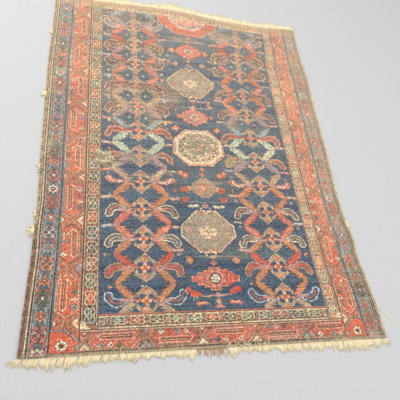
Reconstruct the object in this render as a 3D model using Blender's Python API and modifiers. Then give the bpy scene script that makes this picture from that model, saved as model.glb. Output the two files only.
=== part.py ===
"""A worn hand-knotted wool runner rug with cotton warp fringes, lying flat.

X runs across the rug, Y along it from the near end to the far end, and Z is up.
The origin is on the floor, under the middle of the rug.
"""

import random

import bpy

# Plan sizes of the knotted pile, in metres.
FIELD_WIDTH = 0.802
FIELD_LENGTH = 1.470
INNER_GUARD_WIDTH = 0.054
INNER_GUARD_END_WIDTH = 0.047
MAIN_BORDER_WIDTH = 0.086
MAIN_BORDER_END_WIDTH = 0.067
OUTER_GUARD_WIDTH = 0.058
FAR_GUARD_WIDTH = 0.032
FAR_BORDER_WIDTH = 0.024

# The sides and ends that hold the weave together.
SELVEDGE_BAND_WIDTH = 0.014
SELVEDGE_CORD_RADIUS = 0.0018
OVERCAST_THICKNESS = 0.0010
OVERCAST_SWELL = 0.0003
OVERCAST_PITCH = 0.016
END_STRIPE_WIDTH = 0.009

# Heights.
WEAVE_THICKNESS = 0.0024
PILE_HEIGHT = 0.0033
FRINGE_THICKNESS = 0.0020

# Fringes.
NEAR_FRINGE_LENGTH = 0.036
FAR_FRINGE_LENGTH = 0.046
HANKS_PER_END = 12
TIPS_PER_HANK = 7
SHORTEST_TIP = 0.62
VALLEY_DEPTH = 0.40
CORNER_FAN = 0.008

# Medallions: half width, half length, half of the straight side, half of the flat end.
GREY_MEDALLION = (0.108, 0.088, 0.020, 0.040)
RINGED_MEDALLION = (0.109, 0.092, 0.036, 0.050)
FAR_HALF_MEDALLION_HALF_WIDTH = 0.142
FAR_HALF_MEDALLION_LENGTH = 0.110
FAR_HALF_MEDALLION_SIDE = 0.040
FAR_HALF_MEDALLION_END = 0.060

# Flowers with stepped edges: half width, half length and the number of steps.
PALMETTE = (0.086, 0.042, 3)
ROSETTE = (0.080, 0.044, 3)

# How far along the field each motif's middle lies, as a share of the field's length.
NEAR_MEDALLION_SHARE = 0.202
MIDDLE_MEDALLION_SHARE = 0.464
FAR_MEDALLION_SHARE = 0.709
# Where each small flower stands in the free gap between its two neighbours.
NEAR_PALMETTE_GAP_SHARE = 0.56
MIDDLE_PALMETTE_GAP_SHARE = 0.48
MIDDLE_ROSETTE_GAP_SHARE = 0.29
FAR_ROSETTE_GAP_SHARE = 0.49

# A loose selvedge thread: its route from where it leaves the rug, down to the floor.
THREAD_RADIUS = 0.0016
THREAD_PLACE = 0.130
THREAD_ROUTE = [
    (0.000, 0.000, 0.0018),
    (0.006, -0.001, 0.0018),
    (0.015, -0.016, 0.0006),
    (0.024, -0.035, 0.0001),
    (0.041, -0.050, 0.0),
    (0.056, -0.067, 0.0),
    (0.077, -0.080, 0.0),
    (0.092, -0.095, 0.0),
    (0.110, -0.103, 0.0),
]
THREAD_STEPS = 3

# The gap left between neighbouring pieces.
CLEARANCE = 0.0003

# Everything below is worked out from the sizes above.
PILE_BOTTOM = WEAVE_THICKNESS + CLEARANCE
HALF_FIELD = FIELD_WIDTH / 2
INNER_GUARD_START = HALF_FIELD + CLEARANCE
MAIN_BORDER_START = INNER_GUARD_START + INNER_GUARD_WIDTH + CLEARANCE
OUTER_GUARD_START = MAIN_BORDER_START + MAIN_BORDER_WIDTH + CLEARANCE
OUTER_GUARD_END = OUTER_GUARD_START + OUTER_GUARD_WIDTH
SELVEDGE_BAND_START = OUTER_GUARD_END + CLEARANCE
SELVEDGE_BAND_END = SELVEDGE_BAND_START + SELVEDGE_BAND_WIDTH
WRAP_INNER_RADIUS = SELVEDGE_CORD_RADIUS + CLEARANCE
WRAP_RADIUS = WRAP_INNER_RADIUS + OVERCAST_THICKNESS + OVERCAST_SWELL
SELVEDGE_CORD_X = SELVEDGE_BAND_END + CLEARANCE + WRAP_RADIUS
HALF_WIDTH = SELVEDGE_CORD_X + WRAP_RADIUS

WOVEN_LENGTH = (
    END_STRIPE_WIDTH
    + MAIN_BORDER_END_WIDTH
    + INNER_GUARD_END_WIDTH
    + FIELD_LENGTH
    + FAR_GUARD_WIDTH
    + FAR_BORDER_WIDTH
    + 5 * CLEARANCE
)
WHOLE_LENGTH = NEAR_FRINGE_LENGTH + WOVEN_LENGTH + FAR_FRINGE_LENGTH + 2 * CLEARANCE
NEAR_EDGE = NEAR_FRINGE_LENGTH + CLEARANCE - WHOLE_LENGTH / 2
FAR_EDGE = NEAR_EDGE + WOVEN_LENGTH
NEAR_BORDER_Y = NEAR_EDGE + END_STRIPE_WIDTH + CLEARANCE
NEAR_GUARD_Y = NEAR_BORDER_Y + MAIN_BORDER_END_WIDTH + CLEARANCE
FIELD_Y = NEAR_GUARD_Y + INNER_GUARD_END_WIDTH + CLEARANCE
FAR_GUARD_Y = FIELD_Y + FIELD_LENGTH + CLEARANCE
FAR_BORDER_Y = FAR_GUARD_Y + FAR_GUARD_WIDTH + CLEARANCE


def clear_scene():
    """Remove every object that the file opened with."""
    for thing in list(bpy.data.objects):
        bpy.data.objects.remove(thing, do_unlink=True)


def make_material(name, colour, roughness):
    """A plain wool or cotton finish."""
    material = bpy.data.materials.new(name)
    material.use_nodes = True
    shader = material.node_tree.nodes["Principled BSDF"]
    shader.inputs["Base Color"].default_value = (*colour, 1.0)
    shader.inputs["Roughness"].default_value = roughness
    shader.inputs["Metallic"].default_value = 0.0
    return material


def place(name, data, material, location, parent):
    """Add an object for the data, with its own material, to the rug's collection."""
    data.materials.append(material)
    thing = bpy.data.objects.new(name, data)
    thing.location = location
    thing.parent = parent
    parent.users_collection[0].objects.link(thing)
    return thing


def closed_spline(curve, points):
    """Add one closed outline of straight edges to a flat curve."""
    spline = curve.splines.new("POLY")
    spline.points.add(len(points) - 1)
    for corner, (x, y) in zip(spline.points, points):
        corner.co = (x, y, 0.0, 1.0)
    spline.use_cyclic_u = True


def slab(name, outline, centre, bottom, thickness, material, parent):
    """A flat piece of even thickness."""
    curve = bpy.data.curves.new(name, "CURVE")
    curve.dimensions = "2D"
    curve.fill_mode = "BOTH"
    curve.extrude = thickness / 2
    closed_spline(curve, outline)
    location = (centre[0], centre[1], bottom + thickness / 2)
    return place(name, curve, material, location, parent)


def rectangle(width, length):
    """The outline of a rectangle about its own centre."""
    x = width / 2
    y = length / 2
    return [(-x, -y), (x, -y), (x, y), (-x, y)]


def thickened(name, outline, thickness):
    """A mesh object of one flat outline, given its thickness by a modifier."""
    mesh = bpy.data.meshes.new(name)
    mesh.from_pydata([(x, y, 0.0) for x, y in outline], [], [range(len(outline))])
    thing = bpy.data.objects.new(name, mesh)
    solid = thing.modifiers.new("Thickness", "SOLIDIFY")
    solid.thickness = thickness
    solid.offset = 0.0
    return thing


def strip(name, left, near, width, length, material, parent):
    """A straight strip of pile whose near left corner is at (left, near)."""
    centre = (left + width / 2, near + length / 2)
    outline = rectangle(width, length)
    return slab(name, outline, centre, PILE_BOTTOM, PILE_HEIGHT, material, parent)


def octagon(half_width, half_length, side, end, grow=0.0):
    """A long-sided octagon about its own centre, grown outwards by a clearance."""
    x = half_width + grow
    y = half_length + grow
    side = side + grow / 2
    end = end + grow / 2
    quarter = [(x, side), (end, y)]
    mirrored = [(-end, y), (-x, side)]
    upper = quarter + mirrored
    return upper + [(-px, -py) for px, py in upper]


def stepped_flower(half_width, half_length, steps, grow=0.0):
    """A flower whose edge climbs in even steps, as knots do, grown by a clearance."""
    corners = []
    for step in range(steps):
        x = half_width * (steps - step) / steps + grow
        low = half_length * step / steps + grow
        high = half_length * (step + 1) / steps + grow
        if step > 0:
            corners.append((x, low))
        corners.append((x, high))
    upper = corners + [(-x, y) for x, y in reversed(corners)]
    return upper + [(-x, -y) for x, y in upper]


def half_medallion(grow=0.0):
    """Half an octagon about the middle of its long edge, which lies on the far edge."""
    x = FAR_HALF_MEDALLION_HALF_WIDTH + grow
    side = FAR_HALF_MEDALLION_SIDE + grow / 2
    end = FAR_HALF_MEDALLION_END + grow / 2
    length = FAR_HALF_MEDALLION_LENGTH + grow
    return [(x, grow), (x, -side), (end, -length), (-end, -length), (-x, -side), (-x, grow)]


def place_between(low, high, flower, share):
    """The middle of a small flower in the gap from low to high along the field."""
    room = flower[1] + CLEARANCE
    return low + room + share * (high - low - 2 * room)


def inlays():
    """Each whole motif set into the field: name, finish, place along it, shape, sizes."""
    near = NEAR_MEDALLION_SHARE * FIELD_LENGTH
    middle = MIDDLE_MEDALLION_SHARE * FIELD_LENGTH
    far = FAR_MEDALLION_SHARE * FIELD_LENGTH
    grey = GREY_MEDALLION[1]
    ringed = RINGED_MEDALLION[1]
    end = FIELD_LENGTH - FAR_HALF_MEDALLION_LENGTH
    near_palmette = place_between(0.0, near - grey, PALMETTE, NEAR_PALMETTE_GAP_SHARE)
    palmette = place_between(near + grey, middle - ringed, PALMETTE, MIDDLE_PALMETTE_GAP_SHARE)
    rosette = place_between(middle + ringed, far - grey, ROSETTE, MIDDLE_ROSETTE_GAP_SHARE)
    far_rosette = place_between(far + grey, end, ROSETTE, FAR_ROSETTE_GAP_SHARE)
    return [
        ("palmette_near", "red_wool", near_palmette, stepped_flower, PALMETTE),
        ("medallion_near", "grey_wool", near, octagon, GREY_MEDALLION),
        ("palmette_middle", "red_wool", palmette, stepped_flower, PALMETTE),
        ("medallion_middle", "cream_wool", middle, octagon, RINGED_MEDALLION),
        ("rosette_middle", "red_wool", rosette, stepped_flower, ROSETTE),
        ("medallion_far", "grey_wool", far, octagon, GREY_MEDALLION),
        ("rosette_far", "red_wool", far_rosette, stepped_flower, ROSETTE),
    ]


def build_weave(finishes, parent):
    """The flat-woven ground of cotton warps and wefts that carries every knot."""
    outline = rectangle(2 * SELVEDGE_BAND_END, WOVEN_LENGTH)
    centre = (0.0, (NEAR_EDGE + FAR_EDGE) / 2)
    slab("ground_weave", outline, centre, 0.0, WEAVE_THICKNESS, finishes["cotton"], parent)


def add_cutter(cutters, name, outline, centre):
    """A hidden solid that leaves room for one motif in the field."""
    cutter = thickened(f"cut_{name}", outline, 3 * PILE_HEIGHT)
    cutter.location = (*centre, PILE_BOTTOM + PILE_HEIGHT / 2)
    cutter.hide_render = True
    cutter.display_type = "WIRE"
    cutters.objects.link(cutter)


def build_field(finishes, parent):
    """The blue field, with the medallions and flowers knotted into it."""
    cutters = bpy.data.collections.new("cutters")
    bpy.context.scene.collection.children.link(cutters)
    for name, finish, place, shape, sizes in inlays():
        centre = (0.0, FIELD_Y + place)
        slab(name, shape(*sizes), centre, PILE_BOTTOM, PILE_HEIGHT, finishes[finish], parent)
        add_cutter(cutters, name, shape(*sizes, grow=CLEARANCE), centre)
    centre = (0.0, FIELD_Y + FIELD_LENGTH)
    orange = finishes["orange_wool"]
    slab("half_medallion_far", half_medallion(), centre, PILE_BOTTOM, PILE_HEIGHT, orange, parent)
    add_cutter(cutters, "half_medallion_far", half_medallion(CLEARANCE), centre)
    field = thickened("field_pile", rectangle(FIELD_WIDTH, FIELD_LENGTH), PILE_HEIGHT)
    field.location = (0.0, FIELD_Y + FIELD_LENGTH / 2, PILE_BOTTOM + PILE_HEIGHT / 2)
    field.parent = parent
    field.data.materials.append(finishes["blue_wool"])
    parent.users_collection[0].objects.link(field)
    cut = field.modifiers.new("Motifs", "BOOLEAN")
    cut.operation = "DIFFERENCE"
    cut.solver = "EXACT"
    cut.operand_type = "COLLECTION"
    cut.collection = cutters


def build_borders(finishes, parent):
    """The guards and the main border, each one straight strip of pile to a side."""
    guard = finishes["guard_wool"]
    border = finishes["border_wool"]
    outer = finishes["outer_guard_wool"]
    faded = finishes["faded_wool"]
    guard_length = FAR_BORDER_Y - CLEARANCE - NEAR_GUARD_Y
    border_length = FAR_EDGE - NEAR_BORDER_Y
    for side, sign in (("left", -1), ("right", 1)):
        for name, start, width, near, length, finish in (
            ("inner_guard", INNER_GUARD_START, INNER_GUARD_WIDTH, NEAR_GUARD_Y, guard_length, guard),
            ("main_border", MAIN_BORDER_START, MAIN_BORDER_WIDTH, NEAR_BORDER_Y, border_length, border),
            ("outer_guard", OUTER_GUARD_START, OUTER_GUARD_WIDTH, NEAR_EDGE, WOVEN_LENGTH, outer),
        ):
            left = start if sign > 0 else -start - width
            strip(f"{name}_{side}", left, near, width, length, finish, parent)
    between_borders = 2 * (MAIN_BORDER_START - CLEARANCE)
    between_outer = 2 * (OUTER_GUARD_START - CLEARANCE)
    strip("inner_guard_near", -HALF_FIELD, NEAR_GUARD_Y, FIELD_WIDTH, INNER_GUARD_END_WIDTH,
          guard, parent)
    strip("main_border_near", -between_borders / 2, NEAR_BORDER_Y, between_borders,
          MAIN_BORDER_END_WIDTH, border, parent)
    strip("far_guard", -HALF_FIELD, FAR_GUARD_Y, FIELD_WIDTH, FAR_GUARD_WIDTH, faded, parent)
    strip("far_border", -between_borders / 2, FAR_BORDER_Y, between_borders, FAR_BORDER_WIDTH,
          finishes["faded_border_wool"], parent)
    strip("end_stripe_near", -between_outer / 2, NEAR_EDGE, between_outer, END_STRIPE_WIDTH,
          faded, parent)


def build_selvedge_band(side, sign, finishes, parent):
    """The flat weft-faced band between the outer guard and the overcast edge."""
    centre = (sign * (SELVEDGE_BAND_START + SELVEDGE_BAND_END) / 2, (NEAR_EDGE + FAR_EDGE) / 2)
    outline = rectangle(SELVEDGE_BAND_WIDTH, WOVEN_LENGTH)
    finish = finishes["cream_wool"]
    slab(f"selvedge_band_{side}", outline, centre, PILE_BOTTOM, PILE_HEIGHT, finish, parent)


def build_selvedge_cord(side, sign, finishes, parent):
    """The bundle of outermost warps at the very edge."""
    curve = bpy.data.curves.new(f"selvedge_cord_{side}", "CURVE")
    curve.dimensions = "3D"
    curve.bevel_depth = SELVEDGE_CORD_RADIUS
    curve.bevel_resolution = 2
    curve.use_fill_caps = True
    spline = curve.splines.new("POLY")
    spline.points.add(1)
    spline.points[0].co = (0.0, -WOVEN_LENGTH / 2, 0.0, 1.0)
    spline.points[1].co = (0.0, WOVEN_LENGTH / 2, 0.0, 1.0)
    location = (sign * SELVEDGE_CORD_X, (NEAR_EDGE + FAR_EDGE) / 2, WRAP_RADIUS)
    place(f"selvedge_cord_{side}", curve, finishes["cotton"], location, parent)


def build_overcast(side, sign, finishes, parent):
    """The yarn wound over the selvedge cord, swelling at each turn."""
    turns = int(WOVEN_LENGTH / OVERCAST_PITCH)
    pitch = WOVEN_LENGTH / turns
    thin = WRAP_INNER_RADIUS + OVERCAST_THICKNESS
    profile = [(WRAP_INNER_RADIUS, -WOVEN_LENGTH / 2), (thin, -WOVEN_LENGTH / 2)]
    for turn in range(turns):
        start = turn * pitch - WOVEN_LENGTH / 2
        profile.append((thin + OVERCAST_SWELL, start + pitch / 3))
        profile.append((thin + OVERCAST_SWELL, start + 2 * pitch / 3))
        profile.append((thin, start + pitch))
    profile.append((WRAP_INNER_RADIUS, WOVEN_LENGTH / 2))
    mesh = bpy.data.meshes.new(f"selvedge_overcast_{side}")
    corners = [(radius, along, 0.0) for radius, along in profile]
    edges = [(i, (i + 1) % len(corners)) for i in range(len(corners))]
    mesh.from_pydata(corners, edges, [])
    location = (sign * SELVEDGE_CORD_X, (NEAR_EDGE + FAR_EDGE) / 2, WRAP_RADIUS)
    finish = finishes["overcast_wool"]
    wrap = place(f"selvedge_overcast_{side}", mesh, finish, location, parent)
    turn = wrap.modifiers.new("Turned", "SCREW")
    turn.axis = "Y"
    turn.steps = 10
    turn.render_steps = 10
    turn.use_merge_vertices = True
    turn.merge_threshold = 0.00005
    turn.use_normal_calculate = True


def hank_outline(width, length, direction, fan_left, fan_right, ragged):
    """A hank of warp ends from its straight root to ragged tips."""
    spread_left = -width / 2 - fan_left
    spread_right = width / 2 + fan_right
    step = (spread_right - spread_left) / TIPS_PER_HANK
    longest = ragged.randrange(TIPS_PER_HANK)
    outline = [(-width / 2, 0.0), (width / 2, 0.0)]
    for tip in range(TIPS_PER_HANK):
        right = spread_right - tip * step
        reach = length * ragged.uniform(SHORTEST_TIP, 1.0)
        reach = length if tip == longest else reach
        outline.append((right - 0.2 * step, direction * reach))
        outline.append((right - 0.6 * step, direction * reach * 0.97))
        if tip < TIPS_PER_HANK - 1:
            outline.append((right - step, direction * reach * (1.0 - VALLEY_DEPTH)))
    return outline


def build_fringe(end, edge, direction, length, finishes, parent):
    """One end's fringe, as a row of hanks of cut warp ends."""
    ragged = random.Random(end)
    span = 2 * (SELVEDGE_BAND_END + WRAP_RADIUS)
    pitch = span / HANKS_PER_END
    for hank in range(HANKS_PER_END):
        fan_left = CORNER_FAN if hank == 0 else 0.0
        fan_right = CORNER_FAN if hank == HANKS_PER_END - 1 else 0.0
        width = pitch - CLEARANCE
        outline = hank_outline(width, length, direction, fan_left, fan_right, ragged)
        centre = ((hank + 0.5) * pitch - span / 2, edge + direction * CLEARANCE)
        name = f"fringe_{end}_{hank + 1:02d}"
        slab(name, outline, centre, 0.0, FRINGE_THICKNESS, finishes["cotton"], parent)


def smooth_route(points, steps):
    """Points read from a smooth curve that passes through each point of the route."""
    padded = [points[0], *points, points[-1]]
    route = []
    for i in range(1, len(padded) - 2):
        before, start, end, after = padded[i - 1:i + 3]
        for step in range(steps):
            t = step / steps
            route.append(tuple(
                0.5 * (2 * b + (c - a) * t + (2 * a - 5 * b + 4 * c - d) * t ** 2
                       + (3 * b - a - 3 * c + d) * t ** 3)
                for a, b, c, d in zip(before, start, end, after)
            ))
    route.append(points[-1])
    return route


def build_loose_thread(finishes, parent):
    """The thread that has come away from the right selvedge and lies on the floor."""
    curve = bpy.data.curves.new("loose_thread", "CURVE")
    curve.dimensions = "3D"
    curve.bevel_depth = THREAD_RADIUS
    curve.bevel_resolution = 2
    curve.use_fill_caps = True
    route = smooth_route(THREAD_ROUTE, THREAD_STEPS)
    spline = curve.splines.new("POLY")
    spline.points.add(len(route) - 1)
    for point, (x, y, lift) in zip(spline.points, route):
        point.co = (x, y, max(lift, 0.0), 1.0)
    start = HALF_WIDTH + CLEARANCE
    location = (start, NEAR_EDGE + THREAD_PLACE, THREAD_RADIUS)
    place("loose_thread", curve, finishes["cotton"], location, parent)


def make_finishes():
    """The dyed wools and the undyed cotton."""
    colours = {
        "cotton": (0.62, 0.50, 0.32),
        "blue_wool": (0.040, 0.070, 0.110),
        "grey_wool": (0.29, 0.24, 0.18),
        "cream_wool": (0.50, 0.38, 0.22),
        "red_wool": (0.42, 0.11, 0.08),
        "orange_wool": (0.47, 0.13, 0.06),
        "border_wool": (0.40, 0.08, 0.045),
        "faded_border_wool": (0.50, 0.26, 0.15),
        "guard_wool": (0.22, 0.14, 0.08),
        "outer_guard_wool": (0.16, 0.12, 0.11),
        "faded_wool": (0.46, 0.29, 0.17),
        "overcast_wool": (0.18, 0.10, 0.06),
    }
    return {name: make_material(name, colour, 0.92) for name, colour in colours.items()}


def build():
    """The whole rug."""
    clear_scene()
    rug = bpy.data.collections.new("runner_rug")
    bpy.context.scene.collection.children.link(rug)
    parent = bpy.data.objects.new("runner_rug", None)
    rug.objects.link(parent)
    finishes = make_finishes()
    build_weave(finishes, parent)
    build_field(finishes, parent)
    build_borders(finishes, parent)
    for side, sign in (("left", -1), ("right", 1)):
        build_selvedge_band(side, sign, finishes, parent)
        build_selvedge_cord(side, sign, finishes, parent)
        build_overcast(side, sign, finishes, parent)
    build_fringe("near", NEAR_EDGE, -1, NEAR_FRINGE_LENGTH, finishes, parent)
    build_fringe("far", FAR_EDGE, 1, FAR_FRINGE_LENGTH, finishes, parent)
    build_loose_thread(finishes, parent)


build()
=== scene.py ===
"""The looks of a worn hand-knotted runner rug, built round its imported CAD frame.

Places on the rug are given as (across, along) in metres from the near left corner of
the blue field, which comes from the frame. Along grows from the near end to the far end.
"""

import math
import random
from functools import partial

import bpy
import numpy as np
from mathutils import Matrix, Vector


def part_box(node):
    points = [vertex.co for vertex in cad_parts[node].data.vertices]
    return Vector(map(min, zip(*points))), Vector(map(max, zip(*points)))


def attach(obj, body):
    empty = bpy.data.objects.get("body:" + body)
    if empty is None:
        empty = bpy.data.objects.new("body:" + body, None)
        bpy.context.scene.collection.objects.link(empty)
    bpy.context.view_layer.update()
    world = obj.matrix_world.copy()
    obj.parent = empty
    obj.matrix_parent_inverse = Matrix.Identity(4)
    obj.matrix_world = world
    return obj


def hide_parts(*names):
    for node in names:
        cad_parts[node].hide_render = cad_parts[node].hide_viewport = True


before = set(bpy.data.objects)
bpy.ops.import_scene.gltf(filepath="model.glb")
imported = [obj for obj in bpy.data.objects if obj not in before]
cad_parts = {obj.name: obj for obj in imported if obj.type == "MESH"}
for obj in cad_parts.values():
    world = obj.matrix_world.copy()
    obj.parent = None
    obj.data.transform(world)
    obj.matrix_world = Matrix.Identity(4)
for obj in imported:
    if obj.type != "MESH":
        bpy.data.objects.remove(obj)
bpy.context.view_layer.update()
FIELD_LOW, FIELD_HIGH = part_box("field_pile")
WEAVE_LOW, WEAVE_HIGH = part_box("ground_weave")
ORIGIN_X = FIELD_LOW.x
ORIGIN_Y = FIELD_LOW.y
FIELD_WIDTH = FIELD_HIGH.x - FIELD_LOW.x
FIELD_LENGTH = FIELD_HIGH.y - FIELD_LOW.y
PILE_TOP = FIELD_HIGH.z
PILE_BOTTOM = FIELD_LOW.z
WEAVE_LEFT = WEAVE_LOW.x - ORIGIN_X
WEAVE_RIGHT = WEAVE_HIGH.x - ORIGIN_X

KNOT = 0.0025
WEAVE_STEP = 0.007
WEAVE_SKIN = 0.0003
WORN_DEPTH = 0.0016
TORN_DEPTH = 0.0014
PILE_ROUGHNESS = 0.00010
FLOOR_GAP = 0.0002
OVERCAST_YARN = 0.0013
OVERCAST_PITCH = 0.0029
OVERCAST_SIDES = 9
FRINGE_ENDS = 2300
SWEPT_ENDS = 46
TORN_ENDS = 120
EDGE_HAIRS = 420
# Where the middle stem of the field stands.
MIDDLE_STEM = 0.403

# The route that the CAD thread takes, from where it leaves the rug: x, y and lift.
THREAD_ROUTE = [
    (0.000, 0.000, 0.0018),
    (0.006, -0.001, 0.0018),
    (0.015, -0.016, 0.0006),
    (0.024, -0.035, 0.0001),
    (0.041, -0.050, 0.0),
    (0.056, -0.067, 0.0),
    (0.077, -0.080, 0.0),
    (0.092, -0.095, 0.0),
    (0.110, -0.103, 0.0),
]
THREAD_RADIUS = 0.0016
THREAD_TWIST = 0.009

CAMERA_ACROSS = -0.0407
CAMERA_ALONG = -0.3727
CAMERA_HEIGHT = 1.4278
CAMERA_TURN = (29.935, -13.344, -5.682)
CAMERA_LENS = 38.91
FLOOR_COLOUR = (0.62, 0.61, 0.60, 1.0)
ROOM_COLOUR = (0.95, 0.97, 1.0, 1.0)
ROOM_STRENGTH = 0.62

# How wide a drawn line is knotted.
HAIR, FINE, THIN, LINE, BOLD = 0.0026, 0.0028, 0.0030, 0.0034, 0.0040

# Yarn colours, as red, green and blue from 0 to 255.
NAVY = (48, 70, 94)
DEEP = (42, 54, 74)
BLUE = (78, 108, 130)
TEAL = (92, 124, 128)
SKY = (150, 166, 168)
MINT = (182, 192, 160)
GREEN = (104, 112, 92)
MADDER = (212, 104, 76)
RED = (202, 86, 68)
BIRD_RED = (216, 84, 62)
ROSE = (214, 120, 100)
PINK = (206, 150, 134)
SALMON = (222, 134, 104)
GOLD = (202, 134, 92)
ORANGE = (208, 118, 78)
CREAM = (228, 206, 164)
IVORY = (234, 222, 190)
TAN = (190, 160, 128)
GREY = (168, 146, 120)
MAUVE = (164, 138, 134)
BROWN = (122, 84, 62)
DARK = (78, 60, 54)
COTTON = (232, 212, 168)
LEAF_GREY = (92, 96, 98)
LEAF_SHADE = (84, 76, 80)
CROWDED_STEM = (158, 128, 110)
CROWDED_RIM = (168, 130, 106)
CROWDED_EYE = (62, 92, 108)
GUARD_SHADE = (82, 62, 54)
GUARD_GROUND = (158, 102, 78)
LEFT_GUARD_FILLS = ((190, 92, 74), (104, 116, 104), (176, 112, 88), (84, 78, 74), (96, 112, 112))
RIGHT_GUARD_FILLS = ((212, 124, 94), (168, 156, 124), (218, 150, 112), (156, 138, 114), (178, 160, 128))
NEAR_GUARD_FILLS = ((132, 138, 112), (112, 124, 112), (186, 100, 80), (104, 102, 88))
LEFT_OUTER_GROUNDS = ((74, 98, 112), (100, 92, 96), (82, 106, 108), (98, 98, 98), (66, 88, 102),
                      (108, 90, 90))
RIGHT_OUTER_GROUNDS = ((124, 126, 112), (144, 116, 98), (126, 128, 110), (138, 122, 102),
                       (116, 120, 108), (148, 114, 94))
STRAYS = (TAN, TEAL, BLUE, PINK, GREEN, GREY, SALMON, TEAL)
# Knot colours of the torn place: tan and cream bare warps, and near-black knots that stand in for the dark
# seen through the tear, since the weave under it is not cut.
TORN = ((150, 140, 104), (44, 40, 40), (196, 184, 142), (34, 36, 42), (110, 100, 78), (60, 54, 48))


def linear(colour):
    """A display colour from 0 to 255 as the scene-linear colour of a material."""
    share = np.asarray(colour, float) / 255
    return np.where(share <= 0.04045, share / 12.92, ((share + 0.055) / 1.055) ** 2.4)


# ---------------------------------------------------------------- how the rug lies


def wandering(along, stations, shifts):
    """A shift read from a few stations along the rug, rounded off between them."""
    spread = np.linspace(-0.035, 0.035, 7)
    return sum(np.interp(along + d, stations, shifts) for d in spread) / len(spread)


def left_edge_shift(along):
    stations = [-0.13, 0.02, 0.12, 0.21, 0.30, 0.41, 0.61, 0.91, 1.11, 1.31, 1.47]
    shifts = [-0.012, -0.007, -0.003, 0.002, -0.001, 0.005, -0.002, -0.004, -0.006, 0.0, 0.001]
    return wandering(along, stations, shifts)


def right_edge_shift(along):
    stations = [-0.13, 0.01, 0.11, 0.20, 0.275, 0.34, 0.51, 0.71, 1.01, 1.16, 1.31, 1.46, 1.53]
    shifts = [0.008, 0.003, -0.006, -0.018, -0.012, -0.024, -0.029, -0.020, -0.019,
              -0.013, -0.018, -0.013, -0.008]
    return wandering(along, stations, shifts)


def right_field_shift(along):
    stations = [-0.13, 0.01, 0.21, 0.41, 0.81, 1.21, 1.31, 1.41, 1.48]
    shifts = [0.012, 0.008, -0.003, -0.008, -0.012, -0.012, 0.002, 0.010, 0.010]
    return wandering(along, stations, shifts)


def far_edge_shift(across):
    stations = [-0.22, 0.10, 0.30, 0.42, 0.50, 0.60, 0.80, 1.02]
    shifts = [0.004, 0.008, 0.014, 0.006, -0.008, -0.020, -0.028, -0.012]
    return wandering(across, stations, shifts)


def ripple(across, along):
    """How far the rug lifts off the floor in its gentle ripples."""
    waves = (
        0.5 + 0.5 * np.sin(5.1 * along + 1.9 * across + 0.6)
        + 0.30 * np.sin(9.7 * along - 6.3 * across + 2.0)
        + 0.20 * np.sin(14.0 * across + 3.0 * along + 4.0)
    )
    broad = 0.0016 * np.clip(waves, 0.0, None)
    pucker = np.exp(-((along - 0.275) / 0.035) ** 2) * np.clip((across - 0.62) / 0.38, 0, 1)
    edge_curl = np.exp(-((across - 1.02) / 0.05) ** 2) * np.exp(-((along - 1.15) / 0.16) ** 2)
    corner = np.exp(-((across + 0.20) / 0.10) ** 2) * np.exp(-((along + 0.12) / 0.10) ** 2)
    return broad + 0.0050 * pucker + 0.0024 * edge_curl + 0.0014 * corner


def lie(x, y, height):
    """Where points of the flat plan end up on the rug as it lies, as rows of x, y, z."""
    x = np.asarray(x, float)
    y = np.asarray(y, float)
    across = x - ORIGIN_X
    along = y - ORIGIN_Y
    half = WEAVE_HIGH.x
    left = np.clip(-across / (half + ORIGIN_X), 0, 1.1)
    inside = np.clip(across / FIELD_WIDTH, 0, 1)
    right = np.clip((across - FIELD_WIDTH) / (half - ORIGIN_X - FIELD_WIDTH), 0, 1.1)
    shift = left * left_edge_shift(along)
    shift = shift + inside * (1 - right) * right_field_shift(along)
    shift = shift + right * right_edge_shift(along)
    far = np.clip((along - 0.85) / 0.6, 0, 1) ** 2
    lengthwise = far * far_edge_shift(across)
    lift = ripple(across, along)
    return np.stack([x + shift, y + lengthwise, height + lift], axis=-1)


# ---------------------------------------------------------------- wear


WORN_PATCHES = [
    # across, along, half width, half length, strength
    (0.14, 0.955, 0.150, 0.075, 0.24),
    (0.32, 0.960, 0.044, 0.070, 0.42),
    (0.31, 1.195, 0.045, 0.080, 0.28),
    (0.54, 0.620, 0.036, 0.030, 0.72),
    (0.13, 0.615, 0.110, 0.034, 0.42),
    (0.45, 0.193, 0.170, 0.014, 0.36),
    (0.38, 1.320, 0.120, 0.030, 0.42),
    (0.13, 1.420, 0.120, 0.060, 0.26),
    (0.57, 1.410, 0.110, 0.055, 0.40),
    (0.05, 1.080, 0.050, 0.120, 0.26),
    (0.44, 0.500, 0.060, 0.030, 0.40),
    (0.58, 0.815, 0.050, 0.030, 0.38),
    (0.22, 0.830, 0.060, 0.050, 0.38),
    (0.97, 0.340, 0.036, 0.018, 0.50),
    (0.98, 0.500, 0.036, 0.026, 0.42),
    (0.98, -0.110, 0.050, 0.022, 0.45),
    (-0.18, 0.930, 0.040, 0.040, 0.40),
    (-0.19, 0.660, 0.030, 0.030, 0.40),
]
# Where the blue ground has worn to another colour but the drawing on it still shows.
WORN_GROUNDS = [
    ((0.16, 0.950, 0.190, 0.095, 0.85), (166, 138, 110)),
    ((0.42, 0.520, 0.210, 0.090, 0.42), (104, 118, 106)),
    ((0.45, 0.215, 0.220, 0.030, 0.45), (112, 120, 108)),
    ((0.36, 1.340, 0.220, 0.080, 0.38), (122, 130, 120)),
    ((0.60, 0.790, 0.120, 0.060, 0.35), (118, 120, 110)),
]
TEAR = (0.012, 0.606, 0.050, 0.040)


def patch(across, along, spot):
    """How strongly one soft-edged oval patch covers each place, from 0 to 1."""
    distance = ((across - spot[0]) / spot[2]) ** 2 + ((along - spot[1]) / spot[3]) ** 2
    return np.exp(-distance ** 1.5)


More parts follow.
